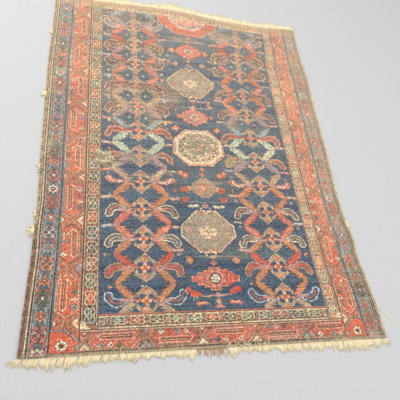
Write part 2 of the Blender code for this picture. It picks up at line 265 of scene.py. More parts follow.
def torn_at(across, along):
    """1 in the torn place at the left of the field, where the pile has gone."""
    turned_across = across - TEAR[0] + 0.5 * (along - TEAR[1])
    jagged = 0.34 * np.sin(150 * along + 60 * across)
    jagged = jagged + 0.30 * np.sin(190 * across + 110 * along + 1.0)
    distance = (turned_across / TEAR[2]) ** 2 + ((along - TEAR[1]) / TEAR[3]) ** 2
    return np.clip(2.2 - 2.2 * (distance + jagged), 0, 1)


def wear_at(across, along):
    """How far the pile is worn towards its foundation, from 0 to 1."""
    wear = 0.10 + 0.12 * np.clip(along / 1.5, 0, 1)
    for spot in WORN_PATCHES:
        wear = np.maximum(wear, spot[4] * patch(across, along, spot))
    ends = np.clip((along - 1.462) / 0.04, 0, 1) * 0.55
    near = np.clip((-0.098 - along) / 0.02, 0, 1) * 0.40
    edges = np.clip((across - 0.93) / 0.05, 0, 1) * 0.15
    wear = np.maximum.reduce([wear, ends, near, edges, 0.5 * torn_at(across, along)])
    return np.clip(wear, 0, 1)


def fade_at(across, along):
    """How far light has bleached the dyes, from 0 to 1."""
    fade = 0.03 + 0.30 * np.clip(along / 1.5, 0, 1) ** 1.3
    borders = np.clip((np.abs(across - 0.40) - 0.40) / 0.05, 0, 1)
    fade = fade + 0.12 * borders * np.clip(along / 1.2, 0, 1)
    fade = fade + 0.22 * np.clip((across - 0.80) / 0.15, 0, 1) * np.clip(0.25 + along, 0, 1)
    fade = fade + 0.40 * np.clip((along - 1.45) / 0.05, 0, 1)
    return np.clip(fade, 0, 1)


# ---------------------------------------------------------------- the cartoon


class Knots:
    """A patch of knots: where each one is tied, and the colour of its yarn."""

    def __init__(self, low, high, size):
        self.columns = max(1, round((high[0] - low[0]) / size))
        self.rows = max(1, round((high[1] - low[1]) / size))
        self.low = low
        self.high = high
        self.x = low[0] + (np.arange(self.columns) + 0.5) * (high[0] - low[0]) / self.columns
        self.y = low[1] + (np.arange(self.rows) + 0.5) * (high[1] - low[1]) / self.rows
        self.yarn = np.zeros((self.rows, self.columns, 3))

    def window(self, points, margin=0.0):
        """The part of the patch that a shape can reach: its rows, columns and places."""
        points = np.asarray(points, float)
        first = np.searchsorted(self.x, points[:, 0].min() - margin)
        last = np.searchsorted(self.x, points[:, 0].max() + margin)
        below = np.searchsorted(self.y, points[:, 1].min() - margin)
        above = np.searchsorted(self.y, points[:, 1].max() + margin)
        if first >= last or below >= above:
            return None
        px, py = np.meshgrid(self.x[first:last], self.y[below:above])
        return slice(below, above), slice(first, last), px, py

    def ground(self, colour):
        self.yarn[:] = colour

    def polygon(self, points, colour):
        """Tie every knot inside an outline in one colour."""
        found = self.window(points)
        if found is None:
            return
        rows, columns, px, py = found
        inside = np.zeros(px.shape, bool)
        for (x0, y0), (x1, y1) in zip(points, list(points[1:]) + [points[0]]):
            if y0 == y1:
                continue
            crosses = (y0 > py) != (y1 > py)
            inside ^= crosses & (px < (x1 - x0) * (py - y0) / (y1 - y0) + x0)
        self.yarn[rows, columns][inside] = colour

    def stroke(self, points, width, colour, closed=False):
        """Tie the knots along a line in one colour."""
        points = list(points)
        ends = points[1:] + ([points[0]] if closed else [])
        for (x0, y0), (x1, y1) in zip(points, ends):
            found = self.window([(x0, y0), (x1, y1)], width)
            if found is None:
                continue
            rows, columns, px, py = found
            dx, dy = x1 - x0, y1 - y0
            share = ((px - x0) * dx + (py - y0) * dy) / max(dx * dx + dy * dy, 1e-12)
            share = np.clip(share, 0, 1)
            away = np.hypot(px - x0 - share * dx, py - y0 - share * dy)
            self.yarn[rows, columns][away <= width / 2] = colour

    def disc(self, x, y, radius, colour, inner=0.0):
        """Tie a round spot, or a ring, in one colour."""
        found = self.window([(x, y)], radius)
        if found is None:
            return
        rows, columns, px, py = found
        away = np.hypot(px - x, py - y)
        self.yarn[rows, columns][(away <= radius) & (away >= inner)] = colour


class Band:
    """A stretch of pattern drawn along one line: (s, t) are along it and across it."""

    def __init__(self, knots, start, heading, side=1.0):
        self.knots = knots
        self.start = start
        self.heading = heading
        self.side = side

    def at(self, s, t):
        hx, hy = self.heading
        t = t * self.side
        return (self.start[0] + s * hx - t * hy, self.start[1] + s * hy + t * hx)

    def polygon(self, points, colour):
        self.knots.polygon([self.at(s, t) for s, t in points], colour)

    def stroke(self, points, width, colour, closed=False):
        self.knots.stroke([self.at(s, t) for s, t in points], width, colour, closed)

    def disc(self, s, t, radius, colour, inner=0.0):
        x, y = self.at(s, t)
        self.knots.disc(x, y, radius, colour, inner)


def unsettle(knots, seed, sway):
    """Hand-knotted drawing: outlines wander, stray knots are tied, and worn ones blur."""
    rows, columns = np.indices(knots.yarn.shape[:2])
    px, py = knots.x[columns], knots.y[rows]
    size_x = knots.x[1] - knots.x[0]
    size_y = knots.y[1] - knots.y[0]
    dice = np.random.default_rng(seed)
    wear = wear_at(px, py)
    sway_x = sway * (0.0014 * np.sin(47 * py + 9 * px) + 0.0010 * np.sin(131 * py - 40 * px + 2))
    sway_y = sway * (0.0016 * np.sin(39 * px - 11 * py + 1) + 0.0010 * np.sin(117 * px + 60 * py))
    slip = 0.20 + 0.9 * wear
    rows = rows + np.rint(sway_y / size_y + slip * dice.normal(0, 0.50, px.shape)).astype(int)
    columns = columns + np.rint(sway_x / size_x + slip * dice.normal(0, 0.50, px.shape)).astype(int)
    yarn = knots.yarn[np.clip(rows, 0, knots.rows - 1), np.clip(columns, 0, knots.columns - 1)]
    soft = yarn.copy()
    for axis in (0, 1):
        soft = (soft + np.roll(soft, 1, axis) + np.roll(soft, -1, axis)) / 3
    share = (0.05 + 0.60 * wear)[..., None]
    yarn = yarn * (1 - share) + soft * share
    chance = 0.10 + 0.22 * np.clip(py / 1.5, 0, 1) + 0.50 * wear
    stray = np.array(STRAYS, float)[dice.integers(0, len(STRAYS), px.shape)]
    mixed = 0.50 * yarn + 0.50 * stray
    yarn = np.where((dice.random(px.shape) < chance)[..., None], mixed, yarn)
    # The torn place takes the TORN colours; its near-black knots stand in for the dark seen through the
    # tear.
    bare = np.array(TORN, float)[dice.integers(0, len(TORN), px.shape)]
    yarn = np.where((dice.random(px.shape) < torn_at(px, py))[..., None], bare, yarn)
    coarse = dice.normal(0.0, 0.085, (knots.rows // 2 + 1, knots.columns // 2 + 1))
    coarse = np.kron(coarse, np.ones((2, 2)))[:knots.rows, :knots.columns, None]
    tint = dice.normal(1.0, 0.090, (*px.shape, 1)) + dice.normal(0.0, 0.030, (*px.shape, 3)) + coarse
    knots.yarn = np.clip(yarn * tint, 0, 255)


# ---------------------------------------------------------------- field motifs


class Pen:
    """Draws shapes given round one place, turned over by its mirror and its flip."""

    def __init__(self, sheet, x, y, mirror=1.0, flip=1.0):
        self.sheet = sheet
        self.x = x
        self.y = y
        self.mirror = mirror
        self.flip = flip

    def turned(self, mirror, flip=1.0):
        return Pen(self.sheet, self.x, self.y, mirror, flip)

    def moved(self, dx, dy):
        return Pen(self.sheet, *self.at(dx, dy), self.mirror, self.flip)

    def sides(self):
        """This pen turned to the left side, then to the right side."""
        return [self.turned(mirror) for mirror in (-1.0, 1.0)]

    def at(self, px, py):
        return self.x + self.mirror * px, self.y + self.flip * py

    def fill(self, points, colour):
        self.sheet.polygon([self.at(*point) for point in points], colour)

    def line(self, points, width, colour, closed=False):
        self.sheet.stroke([self.at(*point) for point in points], width, colour, closed)

    def spot(self, px, py, radius, colour):
        self.sheet.disc(*self.at(px, py), radius, colour)


def diamond(half_x, half_y):
    return [(0, half_y), (half_x, 0), (0, -half_y), (-half_x, 0)]


def block(half_x, half_y):
    return [(-half_x, -half_y), (half_x, -half_y), (half_x, half_y), (-half_x, half_y)]


def octagon(half_width, half_length, side, end):
    upper = [(half_width, side), (end, half_length), (-end, half_length), (-half_width, side)]
    return upper + [(-x, -y) for x, y in upper]


def stepped(half_width, half_length, steps):
    """A stepped lozenge."""
    corners = []
    for step in range(steps):
        x = half_width * (steps - step) / steps
        corners.append((x, half_length * step / steps))
        corners.append((x, half_length * (step + 1) / steps))
    upper = corners + [(-x, y) for x, y in reversed(corners)]
    return upper + [(-x, -y) for x, y in upper]


def around(count, reach_x, reach_y, offset=0.0):
    """Places spaced evenly round an oval."""
    angles = [2 * math.pi * (k + offset) / count for k in range(count)]
    return [(reach_x * math.cos(angle), reach_y * math.sin(angle)) for angle in angles]


def eight_point_star(radius):
    tips = zip(around(16, radius, 0.92 * radius, 1), around(16, 0.66 * radius, 0.6072 * radius, 1))
    return [pair[k % 2] for k, pair in enumerate(tips)]


def scaled(points, scale_x, scale_y):
    return [(scale_x * x, scale_y * y) for x, y in points]


# Pairs of leaves up each side column: along, upper arm, lower arm and edge colours.
PAIR_ROWS = [
    (-0.022, TAN, TAN, GREEN),
    (0.099, GOLD, GOLD, BROWN),
    (0.211, GOLD, RED, PINK),
    (0.324, ROSE, SALMON, RED),
    (0.444, GOLD, GOLD, ROSE),
    (0.566, MAUVE, TAN, PINK),
    (0.694, MINT, MINT, IVORY),
    (0.817, MAUVE, SKY, TAN),
    (0.939, (176, 146, 116), TAN, (214, 178, 136)),
    (1.057, ROSE, SALMON, PINK),
    (1.181, MAUVE, ROSE, PINK),
    (1.307, ROSE, RED, PINK),
    (1.429, (128, 144, 150), (150, 138, 140), (222, 196, 190)),
]
# Pairs that the weaver coloured otherwise in the right column.
RIGHT_PAIRS = {0.939: (ORANGE, SALMON), 1.057: (ORANGE, SALMON)}
# Past these places along the field the weaver crowded the columns with small shapes.
CROWDED_FROM = {-1: 0.75, 1: 1.1}
# The nodes between them: along, scroll leaf, its rim, its vein, bar colour, which way it curls.
NODE_ROWS = [
    (0.039, (84, 80, 92), (184, 200, 204), (160, 104, 92), ROSE, -1.0),
    (0.154, (150, 92, 84), TAN, (214, 92, 72), ROSE, 1.0),
    (0.264, LEAF_GREY, CREAM, TAN, PINK, 1.0),
    (0.384, LEAF_GREY, CREAM, ROSE, PINK, 1.0),
    (0.507, RED, PINK, IVORY, PINK, -0.6),
    (0.625, (192, 124, 100), TAN, BROWN, MAUVE, 1.0),
    (0.750, (172, 108, 94), (206, 150, 126), (140, 84, 76), RED, 1.0),
    (0.878, LEAF_SHADE, (200, 154, 122), (178, 122, 98), TAN, 1.0),
    (0.995, LEAF_SHADE, (206, 152, 128), (186, 138, 112), BROWN, 1.0),
    (1.124, LEAF_SHADE, (196, 168, 140), (160, 128, 112), BROWN, -1.0),
    (1.247, LEAF_SHADE, (224, 168, 118), (206, 140, 96), BROWN, 1.0),
    (1.371, (120, 116, 118), (206, 190, 174), (196, 150, 140), PINK, -1.0),
]


def chevron_arm(pen, colour, edge):
    """Half of a bent leaf, from its elbow to its end, with teeth along the inner side."""
    outer = [(0.105, 0.0), (0.102, 0.014), (0.07, 0.048), (0.052, 0.057), (0.038, 0.054)]
    teeth = []
    for share in (0.0, 0.25, 0.5, 0.75):
        px, py = 0.05 + 0.041 * share, 0.047 - 0.044 * share
        teeth += [(px - 0.021, py - 0.001), (px + 0.004, py - 0.0085)]
    outline = outer + teeth + [(0.083, 0.0)]
    pen.line(outline, BOLD, DEEP if pen.y < 0.6 else DARK, closed=True)
    pen.fill(outline, colour)
    pen.line(outer[:4], HAIR, edge)
    if edge is IVORY:
        pen.line(outline, FINE, edge, closed=True)
    for px, py in teeth[::2]:
        pen.line([(px, py), (px + 0.008, py + 0.001)], THIN, edge)


def leaf_pair(pen, upper, lower, edge):
    """Two bent leaves that face each other across the stem."""
    for mirror in (-1.0, 1.0):
        chevron_arm(pen.turned(mirror), upper, edge)
        chevron_arm(pen.turned(mirror, -1.0), lower, edge)
        pen.turned(mirror).line([(0.08, 0.0), (0.106, 0.0)], LINE, BROWN)


def crowded_pair(pen, mark):
    """What fills a pair of leaves up the far half: a broad stem, blue eyes and spots."""
    eye = [(0.012, 0.0), (0.03, 0.034), (0.052, 0.034), (0.074, 0.0), (0.052, -0.034), (0.03, -0.034)]
    corner = [(0.066, 0.05), (0.092, 0.04), (0.108, 0.022)]
    for side in pen.sides():
        side.fill(eye, CROWDED_EYE)
        for flip in (-1.0, 1.0):
            quarter = pen.turned(side.mirror, flip)
            quarter.line(corner, 0.012, DARK)
            quarter.line(corner, 0.006, CROWDED_RIM)
            quarter.spot(0.045, 0.018, 0.0044, DARK)
            quarter.spot(0.12, 0.02, 0.006, mark)
        side.spot(0.036, 0.0, 0.005, mark)
    pen.fill(block(0.013, 0.046), CROWDED_STEM)
    pen.line([(0, -0.046), (0, 0.046)], 0.0042, BROWN)
    for py in (-0.022, 0.022):
        pen.spot(0, py, 0.006, mark)


def scroll_leaf(pen, leaf, rim, vein):
    """A leaf that points at the stem and curls over at its outer end."""
    outline = [(0.056, 0.002), (0.078, 0.016), (0.1, 0.02), (0.118, 0.013), (0.133, -0.004),
               (0.138, -0.024), (0.13, -0.035), (0.115, -0.03), (0.109, -0.012), (0.096, -0.007),
               (0.074, -0.006)]
    far = pen.y >= CROWDED_FROM[-1]
    pen.line(outline, 0.01, DARK if far else DEEP, closed=True)
    pen.fill(outline, leaf)
    pen.line(outline, 0.0064 if far else 0.0044, rim, closed=True)
    pen.line([(0.076, 0.005), (0.098, 0.007), (0.116, -0.001), (0.124, -0.022)], 0.006, vein)
    pen.fill([(0.052, 0.002), (0.066, 0.011), (0.078, 0.002), (0.066, -0.007)], rim)
    pen.spot(0.067, 0.002, 0.0036, RED)


def arrowhead(pen, colour, heart):
    """A barbed arrowhead on the stem that points away from its node."""
    pen.fill([(0.0, 0.055), (0.01, 0.046), (0.036, 0.025), (0.03, 0.016), (0.016, 0.024), (0.0, 0.016),
              (-0.016, 0.024), (-0.03, 0.016), (-0.036, 0.025), (-0.01, 0.046)], colour)
    pen.fill([(0, 0.042), (0.008, 0.033), (0, 0.025), (-0.008, 0.033)], heart)
    pen.line([(-0.02, 0.028), (0, 0.044), (0.02, 0.028)], HAIR, BROWN)
    for mirror in (-1.0, 1.0):
        pen.line([(mirror * 0.034, 0.022), (mirror * 0.03, 0.013)], 0.005, colour)


def stem_node(pen, bar):
    """A cross-shaped flower on the stem, its bar, and an arrowhead on either side."""
    pen.line([(-0.084, 0), (0.084, 0)], 0.0105 if bar is RED else 0.0046, bar)
    pen.line([(0, -0.052), (0, 0.048)], LINE, BROWN)
    arrowhead(pen, TAN, ROSE)
    arrowhead(pen.turned(1.0, -1.0), TAN, SALMON)
    for side in pen.sides():
        side.fill([(0.04, 0.0), (0.054, 0.011), (0.066, 0.0), (0.054, -0.011)],
                  PINK if bar is ROSE else bar)
        side.fill([(0.046, 0), (0.054, 0.006), (0.06, 0), (0.054, -0.006)], MAUVE)
    pen.fill(diamond(0.021, 0.021), BROWN)
    for dx, dy in ((0.011, 0), (-0.011, 0), (0, 0.012), (0, -0.012)):
        pen.moved(dx, dy).fill(octagon(0.0066, 0.0066, 0.004, 0.004), SALMON)
        pen.spot(dx, dy, 0.0034, CREAM)
    pen.spot(0, 0, 0.0048, RED)


# Odd shapes between the columns: across, along, half size and colour.
SCATTER = [
    (0.3, 1.205, 0.015, SKY), (0.505, 1.2, 0.014, SKY), (0.305, 1.165, 0.012, TAN),
    (0.5, 1.15, 0.011, GOLD), (0.3, 0.905, 0.011, RED), (0.318, 0.88, 0.01, PINK),
    (0.5, 0.905, 0.01, GREEN), (0.29, 1.3, 0.012, PINK), (0.515, 1.31, 0.012, TAN),
    (0.282, 0.59, 0.01, GOLD), (0.52, 0.596, 0.01, TAN), (0.285, 0.47, 0.009, ROSE),
    (0.525, 0.475, 0.009, PINK), (0.285, 0.345, 0.008, PINK), (0.522, 0.35, 0.009, TAN),
    (0.29, 0.12, 0.008, GREEN), (0.275, 1.12, 0.012, BROWN), (0.525, 1.11, 0.011, SALMON),
    (0.018, 0.205, 0.007, PINK), (0.785, 0.205, 0.007, RED), (0.018, 0.33, 0.006, TEAL),
    (0.785, 0.33, 0.006, PINK), (0.79, 0.69, 0.008, BLUE), (0.018, 0.69, 0.008, BLUE),
]
LINT = [(0.128, 0.139), (0.141, 0.089), (0.035, 0.444), (0.52, 0.238), (0.64, 0.93)]


def fillers(knots):
    """Small odd shapes that the weaver scattered between the columns."""
    for x, y, half, colour in SCATTER:
        pen = Pen(knots, x, y)
        pen.fill(stepped(half, half, 2), DARK)
        pen.fill(stepped(0.72 * half, 0.72 * half, 2), colour)
    first, pitch = 0.034, 0.0565
    for k in range(int((FIELD_LENGTH - first) / pitch) + 1):
        y = first + pitch * k
        for side in (-1, 1):
            for mirror in (-1.0, 1.0):
                x = stem_place(side, y) + mirror * (0.122 if k % 2 else 0.03)
                if 0.012 < x < FIELD_WIDTH - 0.012:
                    shade = (PINK, TAN, SKY, SALMON, GREEN)[(3 * k + (mirror > 0)) % 5]
                    Pen(knots, x, y).fill(diamond(0.008, 0.006), shade)


def stem_place(side, along):
    """Where the stem of the left or right column stands at a place along the field."""
    if side < 0:
        return np.interp(along, [0.0, 0.5, 1.0, 1.45], [0.155, 0.152, 0.148, 0.14])
    return np.interp(along, [0.2, 0.45, 0.7, 1.0, 1.45], [0.655, 0.652, 0.648, 0.652, 0.655])


def side_sprig(pen, colour):
    """A small wavy leaf that floats beside the stem."""
    pen.fill([(-0.026, 0.0), (-0.014, 0.007), (0.004, 0.004), (0.014, 0.008), (0.027, 0.0),
              (0.016, -0.007), (0.0, -0.004), (-0.014, -0.007)], colour)
    pen.line([(-0.012, 0.001), (0.014, 0.001)], HAIR, CREAM)


def leaf_column(knots, side):
    """One of the two columns of paired leaves, with scroll leaves at its nodes."""
    sprigs = (ROSE, TAN, SKY, GOLD, GREEN, PINK)
    for along, upper, lower, edge in PAIR_ROWS:
        if side > 0:
            upper, lower = RIGHT_PAIRS.get(along, (upper, lower))
        pen = Pen(knots, stem_place(side, along), along)
        if along > CROWDED_FROM[side]:
            crowded_pair(pen, (PINK, CREAM, SALMON)[round(100 * along) % 3])
        leaf_pair(pen, upper, lower, edge)
        if along > 0.25:
            for half in pen.sides():
                shade = sprigs[round(90 * along + 2 * half.mirror + side) % 6]
                side_sprig(half.moved(0.127, 0.01 * side), shade)
    for along, leaf, rim, vein, bar, bend in NODE_ROWS:
        pen = Pen(knots, stem_place(side, along), along)
        for half in pen.sides():
            scroll_leaf(pen.turned(half.mirror, bend), leaf, rim, vein)
            if bar is BROWN:
                half.line([(0.0, 0.01), (0.05, 0.017), (0.088, 0.006), (0.11, -0.012)], 0.006, DARK)
        stem_node(pen, bar)


def medallion_flower(pen):
    """A plus-shaped flower of cream petals with orange veins."""
    for dx, dy in ((-0.024, 0.006), (-0.024, -0.008), (0.024, 0.006), (0.024, -0.008), (0.0, 0.019),
                   (0.0, -0.021), (-0.01, 0.004), (0.01, 0.004), (-0.01, -0.008), (0.01, -0.008)):
        pen.moved(dx, dy).fill(octagon(0.0088, 0.0072, 0.005, 0.006), CREAM)
    pen.line([(-0.018, 0), (0.018, 0)], FINE, ORANGE)
    pen.line([(0, -0.016), (0, 0.014)], FINE, ORANGE)


def grey_medallion(pen):
    """A plain octagon with a cream edge and a small cream flower."""
    pen.fill(octagon(0.112, 0.091, 0.022, 0.042), DEEP)
    pen.fill(octagon(0.108, 0.088, 0.02, 0.04), (236, 208, 168))
    pen.fill(octagon(0.103, 0.083, 0.018, 0.037), GREY)
    streaks = ((196, 150, 132), (166, 160, 136), (178, 168, 146), (158, 156, 140))
    for turn in range(-9, 10):
        place, reach = 0.0102 * turn, 0.072 - 0.0042 * abs(turn)
        pen.line([(place, -reach), (place, reach)], THIN, streaks[turn % 4])
    for height in (-0.055, -0.048, 0.046, 0.058):
        pen.line([(-0.05, height), (0.05, height)], FINE, (160, 158, 138))
    for side in pen.sides():
        side.line([(0.088, -0.026), (0.066, -0.004), (0.074, 0.014)], 0.005, PINK)
        side.line([(0.08, -0.046), (0.044, -0.074)], 0.005, PINK)
        side.spot(0.082, -0.018, 0.006, MAUVE)
    medallion_flower(pen.moved(-0.003, -0.002))
    for flip, colour in ((-1.0, RED), (1.0, BROWN)):
        tip = pen.turned(1.0, flip)
        tip.line([(-0.028, 0.086), (-0.012, 0.074), (0.0, 0.084), (0.012, 0.074), (0.028, 0.086)],
                 BOLD, colour)
        tip.line([(-0.02, 0.091), (0.0, 0.074), (0.02, 0.091), (0.012, 0.102), (-0.012, 0.102)],
                 LINE, CREAM, closed=True)


def ringed_medallion(pen):
    """An octagon of nested rings round a mottled centre."""
    for shape, colour in (
            ((0.114, 0.096, 0.038, 0.052), DEEP), ((0.11, 0.093, 0.036, 0.05), (226, 190, 154)),
            ((0.106, 0.089, 0.034, 0.047), (202, 108, 84)), ((0.101, 0.085, 0.033, 0.046), (240, 214, 176)),
            ((0.088, 0.074, 0.028, 0.04), (224, 190, 152))):
        pen.fill(octagon(*shape), colour)
    pen.line(octagon(0.083, 0.069, 0.025, 0.037), THIN, GREEN, closed=True)
    teeth = zip(around(36, 0.0816, 0.0672), around(36, 0.06732, 0.05544))
    pen.line([pair[k % 2] for k, pair in enumerate(teeth)], 0.0038, DARK, closed=True)
    pen.fill(octagon(0.062, 0.05, 0.026, 0.03), (172, 154, 124))
    mottle = (TEAL, ROSE, GREEN, CREAM, (150, 140, 118), BROWN)
    for k in range(90):
        angle, reach = 2.4 * k, math.sqrt((k + 0.5) / 90)
        shade = mottle[(k * k + k // 3) % 6]
        pen.spot(0.057 * reach * math.cos(angle), 0.046 * reach * math.sin(angle), 0.0038, shade)
    for k, spot in enumerate(around(10, 0.06, 0.05, 0.5)):
        pen.spot(*spot, 0.0078, IVORY)
        pen.spot(*spot, 0.0042, (PINK, GREEN)[k % 2])


def half_medallion(pen):
    """The orange half octagon that the far end cuts off."""
    outline = [(-0.146, 0.02), (-0.146, -0.042), (-0.064, -0.116), (0.064, -0.116), (0.146, -0.042),
               (0.146, 0.02)]
    for scale, colour in ((1.0, (224, 186, 160)), (0.965, MADDER), (0.62, IVORY), (0.55, (226, 160, 134))):
        pen.fill(scaled(outline, scale, scale), colour)
    for k in range(-7, 8):
        place, tip = 0.0115 * k, -0.07 + 0.0045 * abs(k)
        pen.line([(place, tip), (place, tip + 0.016)], 0.0038, BLUE)
    pen.fill(scaled(outline, 0.4, 0.36), (232, 178, 150))
    pen.moved(0.0, -0.022).line(block(0.034, 0.01), 0.0036, RED, closed=True)


def star_palmette(pen):
    """A stepped red palmette with a star in the middle."""
    for half_width, half_length, colour in (
            (0.091, 0.047, DEEP), (0.088, 0.044, (206, 156, 126)), (0.083, 0.04, (206, 104, 88))):
        pen.fill(stepped(half_width, half_length, 4), colour)
    pen.fill([(0.04, 0.03), (0.084, 0.01), (0.084, -0.01), (0.04, -0.03)], (214, 88, 68))
    for side in pen.sides():
        for px in (0.05, 0.064):
            side.line([(px, -0.03 + px / 4), (px, 0.03 - px / 4)], FINE, PINK)
    pen.fill(eight_point_star(0.05), BROWN)
    pen.fill(eight_point_star(0.045), (216, 138, 120))
    for tip in around(8, 0.036, 0.032):
        pen.line([(0, 0), tip], HAIR, RED)
    pen.spot(0, 0, 0.021, DARK)
    for petal in around(8, 0.012, 0.0115, 0.5):
        pen.spot(*petal, 0.0046, IVORY)
    pen.spot(0, 0, 0.005, IVORY)


def leafy_palmette(pen):
    """A faded palmette with red leaves at its sides."""
    leaf = [(0.0, 0.0), (0.3, 0.016), (0.7, 0.01), (1.0, 0.012), (1.0, -0.006), (0.4, -0.014)]
    for side in pen.sides():
        for dx, dy, length in ((0.062, -0.052, 0.03), (0.05, -0.008, 0.042)):
            side.fill([(dx + share * length, dy + py) for share, py in leaf], RED)
    pen.fill(stepped(0.062, 0.046, 4), (186, 170, 132))
    pen.fill(stepped(0.054, 0.04, 4), (200, 136, 112))
    pen.fill(stepped(0.04, 0.03, 3), (160, 152, 118))
    pen.fill(octagon(0.02, 0.018, 0.008, 0.008), SALMON)
    pen.spot(0, 0, 0.0075, CREAM)


def round_rosette(pen, points, colour, heart):
    """A stepped rosette with pointed petals, a ringed heart and pale tips."""
    for grow, tone in ((0.004, DARK), (0.0, colour)):
        for width, length in ((0.064, 0.013), (0.052, 0.028), (0.034, 0.038), (0.014, 0.048)):
            pen.fill(octagon(width + grow, length + grow, length - 0.004, width - 0.004), tone)
    for k, (dx, dy) in enumerate(around(points, 1.0, 0.8, 0.5)):
        pen.line([(0.024 * dx, 0.024 * dy), (0.046 * dx, 0.046 * dy)], THIN, PINK)
        pen.spot(0.05 * dx, 0.05 * dy, 0.0042, (ROSE, CREAM)[k % 2])
    for radius, tone in ((0.031, BROWN), (0.027, (232, 196, 160)), (0.02, heart)):
        pen.fill(eight_point_star(radius), tone)
    pen.spot(0, 0, 0.0055, (84, 104, 96))


def blob(pen, colour):
    """A small squarish blossom beside a medallion."""
    pen.fill(stepped(0.019, 0.018, 3), DEEP)
    pen.fill(stepped(0.016, 0.015, 3), colour)
    pen.spot(0, 0, 0.004, CREAM)


def bird(pen, colour):
    """A little long-tailed bird."""
    pen.fill([(-0.032, 0.004), (-0.028, 0.018), (-0.018, 0.019), (-0.012, 0.008), (0.004, 0.002),
              (0.026, -0.004), (0.018, -0.014), (0.002, -0.018), (-0.014, -0.014), (-0.02, -0.002)], colour)
    for foot in (-0.006, 0.006):
        pen.line([(foot, -0.016), (foot, -0.028)], FINE, CREAM)


def side_leaf(pen, colour):
    """The short leaf at either side of the middle rosette."""
    pen.fill([(0.0, 0.0), (0.014, 0.012), (0.026, 0.004), (0.02, -0.012)], colour)


def small_diamonds(knots, x, low, high, colour):
    """The little diamonds on the middle stem."""
    count = max(1, round((high - low) / 0.026))
    pitch = (high - low) / count
    knots.stroke([(x, low), (x, high)], THIN, BROWN)
    for k in range(count):
        pen = Pen(knots, x, low + (k + 0.5) * pitch)
        pen.fill(diamond(0.013, 0.46 * pitch), colour)
        pen.fill(diamond(0.006, 0.26 * pitch), BROWN)
        pen.spot(0, 0, 0.0026, CREAM)


def place_of(node):
    """Where the CAD's motif stands along the field."""
    low, high = plan_of(node)
    return (low[1] + high[1]) / 2


def centre_column(knots):
    """The medallions, flowers and small fillings down the middle of the field."""
    x = MIDDLE_STEM

    def beside(along, dx, draw, colour):
        for side in Pen(knots, x, along).sides():
            draw(side.moved(dx, 0.0), colour)

    near, middle, far = (place_of(f"medallion_{name}") for name in ("near", "middle", "far"))
    first, second = place_of("palmette_near"), place_of("palmette_middle")
    third, fourth = place_of("rosette_middle"), place_of("rosette_far")
    Pen(knots, x, 0.0).fill([(-0.02, 0.004), (0, 0.026), (0.02, 0.004)], SALMON)
    small_diamonds(knots, x, 0.018, 0.062, PINK)
    knots.stroke([(x - 0.06, 0.05), (x + 0.05, 0.05)], LINE, PINK)
    beside(0.025, 0.06, side_sprig, ROSE)
    bird(Pen(knots, x - 0.082, 0.064), BIRD_RED)
    Pen(knots, x + 0.074, 0.066).fill([(-0.032, -0.012), (-0.024, 0.006), (0.0, 0.016), (0.018, 0.014),
                                       (0.014, 0.0), (-0.006, -0.008)], BIRD_RED)
    star_palmette(Pen(knots, x, first))
    small_diamonds(knots, x, first + 0.048, near - 0.092, SALMON)
    beside(near - 0.116, 0.088, blob, GOLD)
    beside(near - 0.077, 0.128, side_sprig, PINK)
    grey_medallion(Pen(knots, x - 0.003, near))
    small_diamonds(knots, x - 0.003, near + 0.096, second - 0.062, PINK)
    beside(near + 0.106, 0.05, side_sprig, CREAM)
    knots.stroke([(x - 0.08, second - 0.064), (x + 0.08, second - 0.064)], 0.0032, SKY)
    leafy_palmette(Pen(knots, x, second))
    beside(second + 0.07, 0.088, blob, SALMON)
    beside(second + 0.06, 0.072, blob, ORANGE)
    small_diamonds(knots, x, second + 0.048, middle - 0.096, ROSE)
    ringed_medallion(Pen(knots, x, middle))
    beside(middle + 0.096, 0.092, blob, SALMON)
    round_rosette(Pen(knots, x - 0.004, third), 6, (212, 134, 116), (206, 150, 128))
    beside(third, 0.06, side_leaf, SALMON)
    small_diamonds(knots, x, third + 0.042, far - 0.092, ROSE)
    upper = Pen(knots, x, third)
    upper.line([(-0.06, 0.052), (0.062, 0.052)], LINE, CREAM)
    upper.line([(0.024, 0.09), (0.07, 0.094), (0.066, 0.07), (0.084, 0.056), (0.06, 0.052)], 0.008, PINK)
    grey_medallion(Pen(knots, x - 0.002, far))
    small_diamonds(knots, x - 0.002, far + 0.096, fourth - 0.048, PINK)
    beside(fourth, 0.082, blob, SALMON)
    beside(fourth - 0.084, 0.066, blob, TAN)
    round_rosette(Pen(knots, x, fourth), 8, (222, 116, 102), (196, 160, 118))
    small_diamonds(knots, x, fourth + 0.048, FIELD_LENGTH - 0.118, ROSE)
    beside(fourth + 0.074, 0.052, side_sprig, MAUVE)
    half_medallion(Pen(knots, x, FIELD_LENGTH))


def field_cartoon(knots):
    """The whole blue field, whose dye changes in streaks and pales to the far end."""
    streak = 0.012
    streaks = (BLUE, NAVY, DEEP, BLUE, TEAL, NAVY, BLUE)
    for row in range(int(FIELD_LENGTH / streak) + 2):
        along = streak * row
        pale = 0.50 * np.clip((along - 0.3) / 1.1, 0, 1)
        ground = (1 - pale) * np.array(NAVY) + pale * np.array(TEAL if row % 3 else BLUE)
        rows = (knots.y >= along) & (knots.y < along + streak)
        knots.yarn[rows] = 0.66 * ground + 0.34 * np.array(streaks[(row * row + 3 * row) % 7])
    for spot, colour in WORN_GROUNDS:
        worn = spot[4] * patch(*np.meshgrid(knots.x, knots.y), spot)[..., None]
        knots.yarn = (1 - worn) * knots.yarn + worn * np.array(colour)
    fillers(knots)
    leaf_column(knots, -1)
    leaf_column(knots, 1)
    centre_column(knots)
    for x, y in LINT:
        knots.disc(x, y, 0.003, (252, 250, 240))


# ---------------------------------------------------------------- border motifs


def tiny_flower(pen, petal, heart):
    reach = 0.0058
    for radius, colour in ((0.005, BROWN), (0.0036, petal)):
        for ds, dt in ((reach, 0), (-reach, 0), (0, reach), (0, -reach)):
            pen.spot(ds, dt, radius, colour)
    pen.spot(0, 0, 0.003, heart)


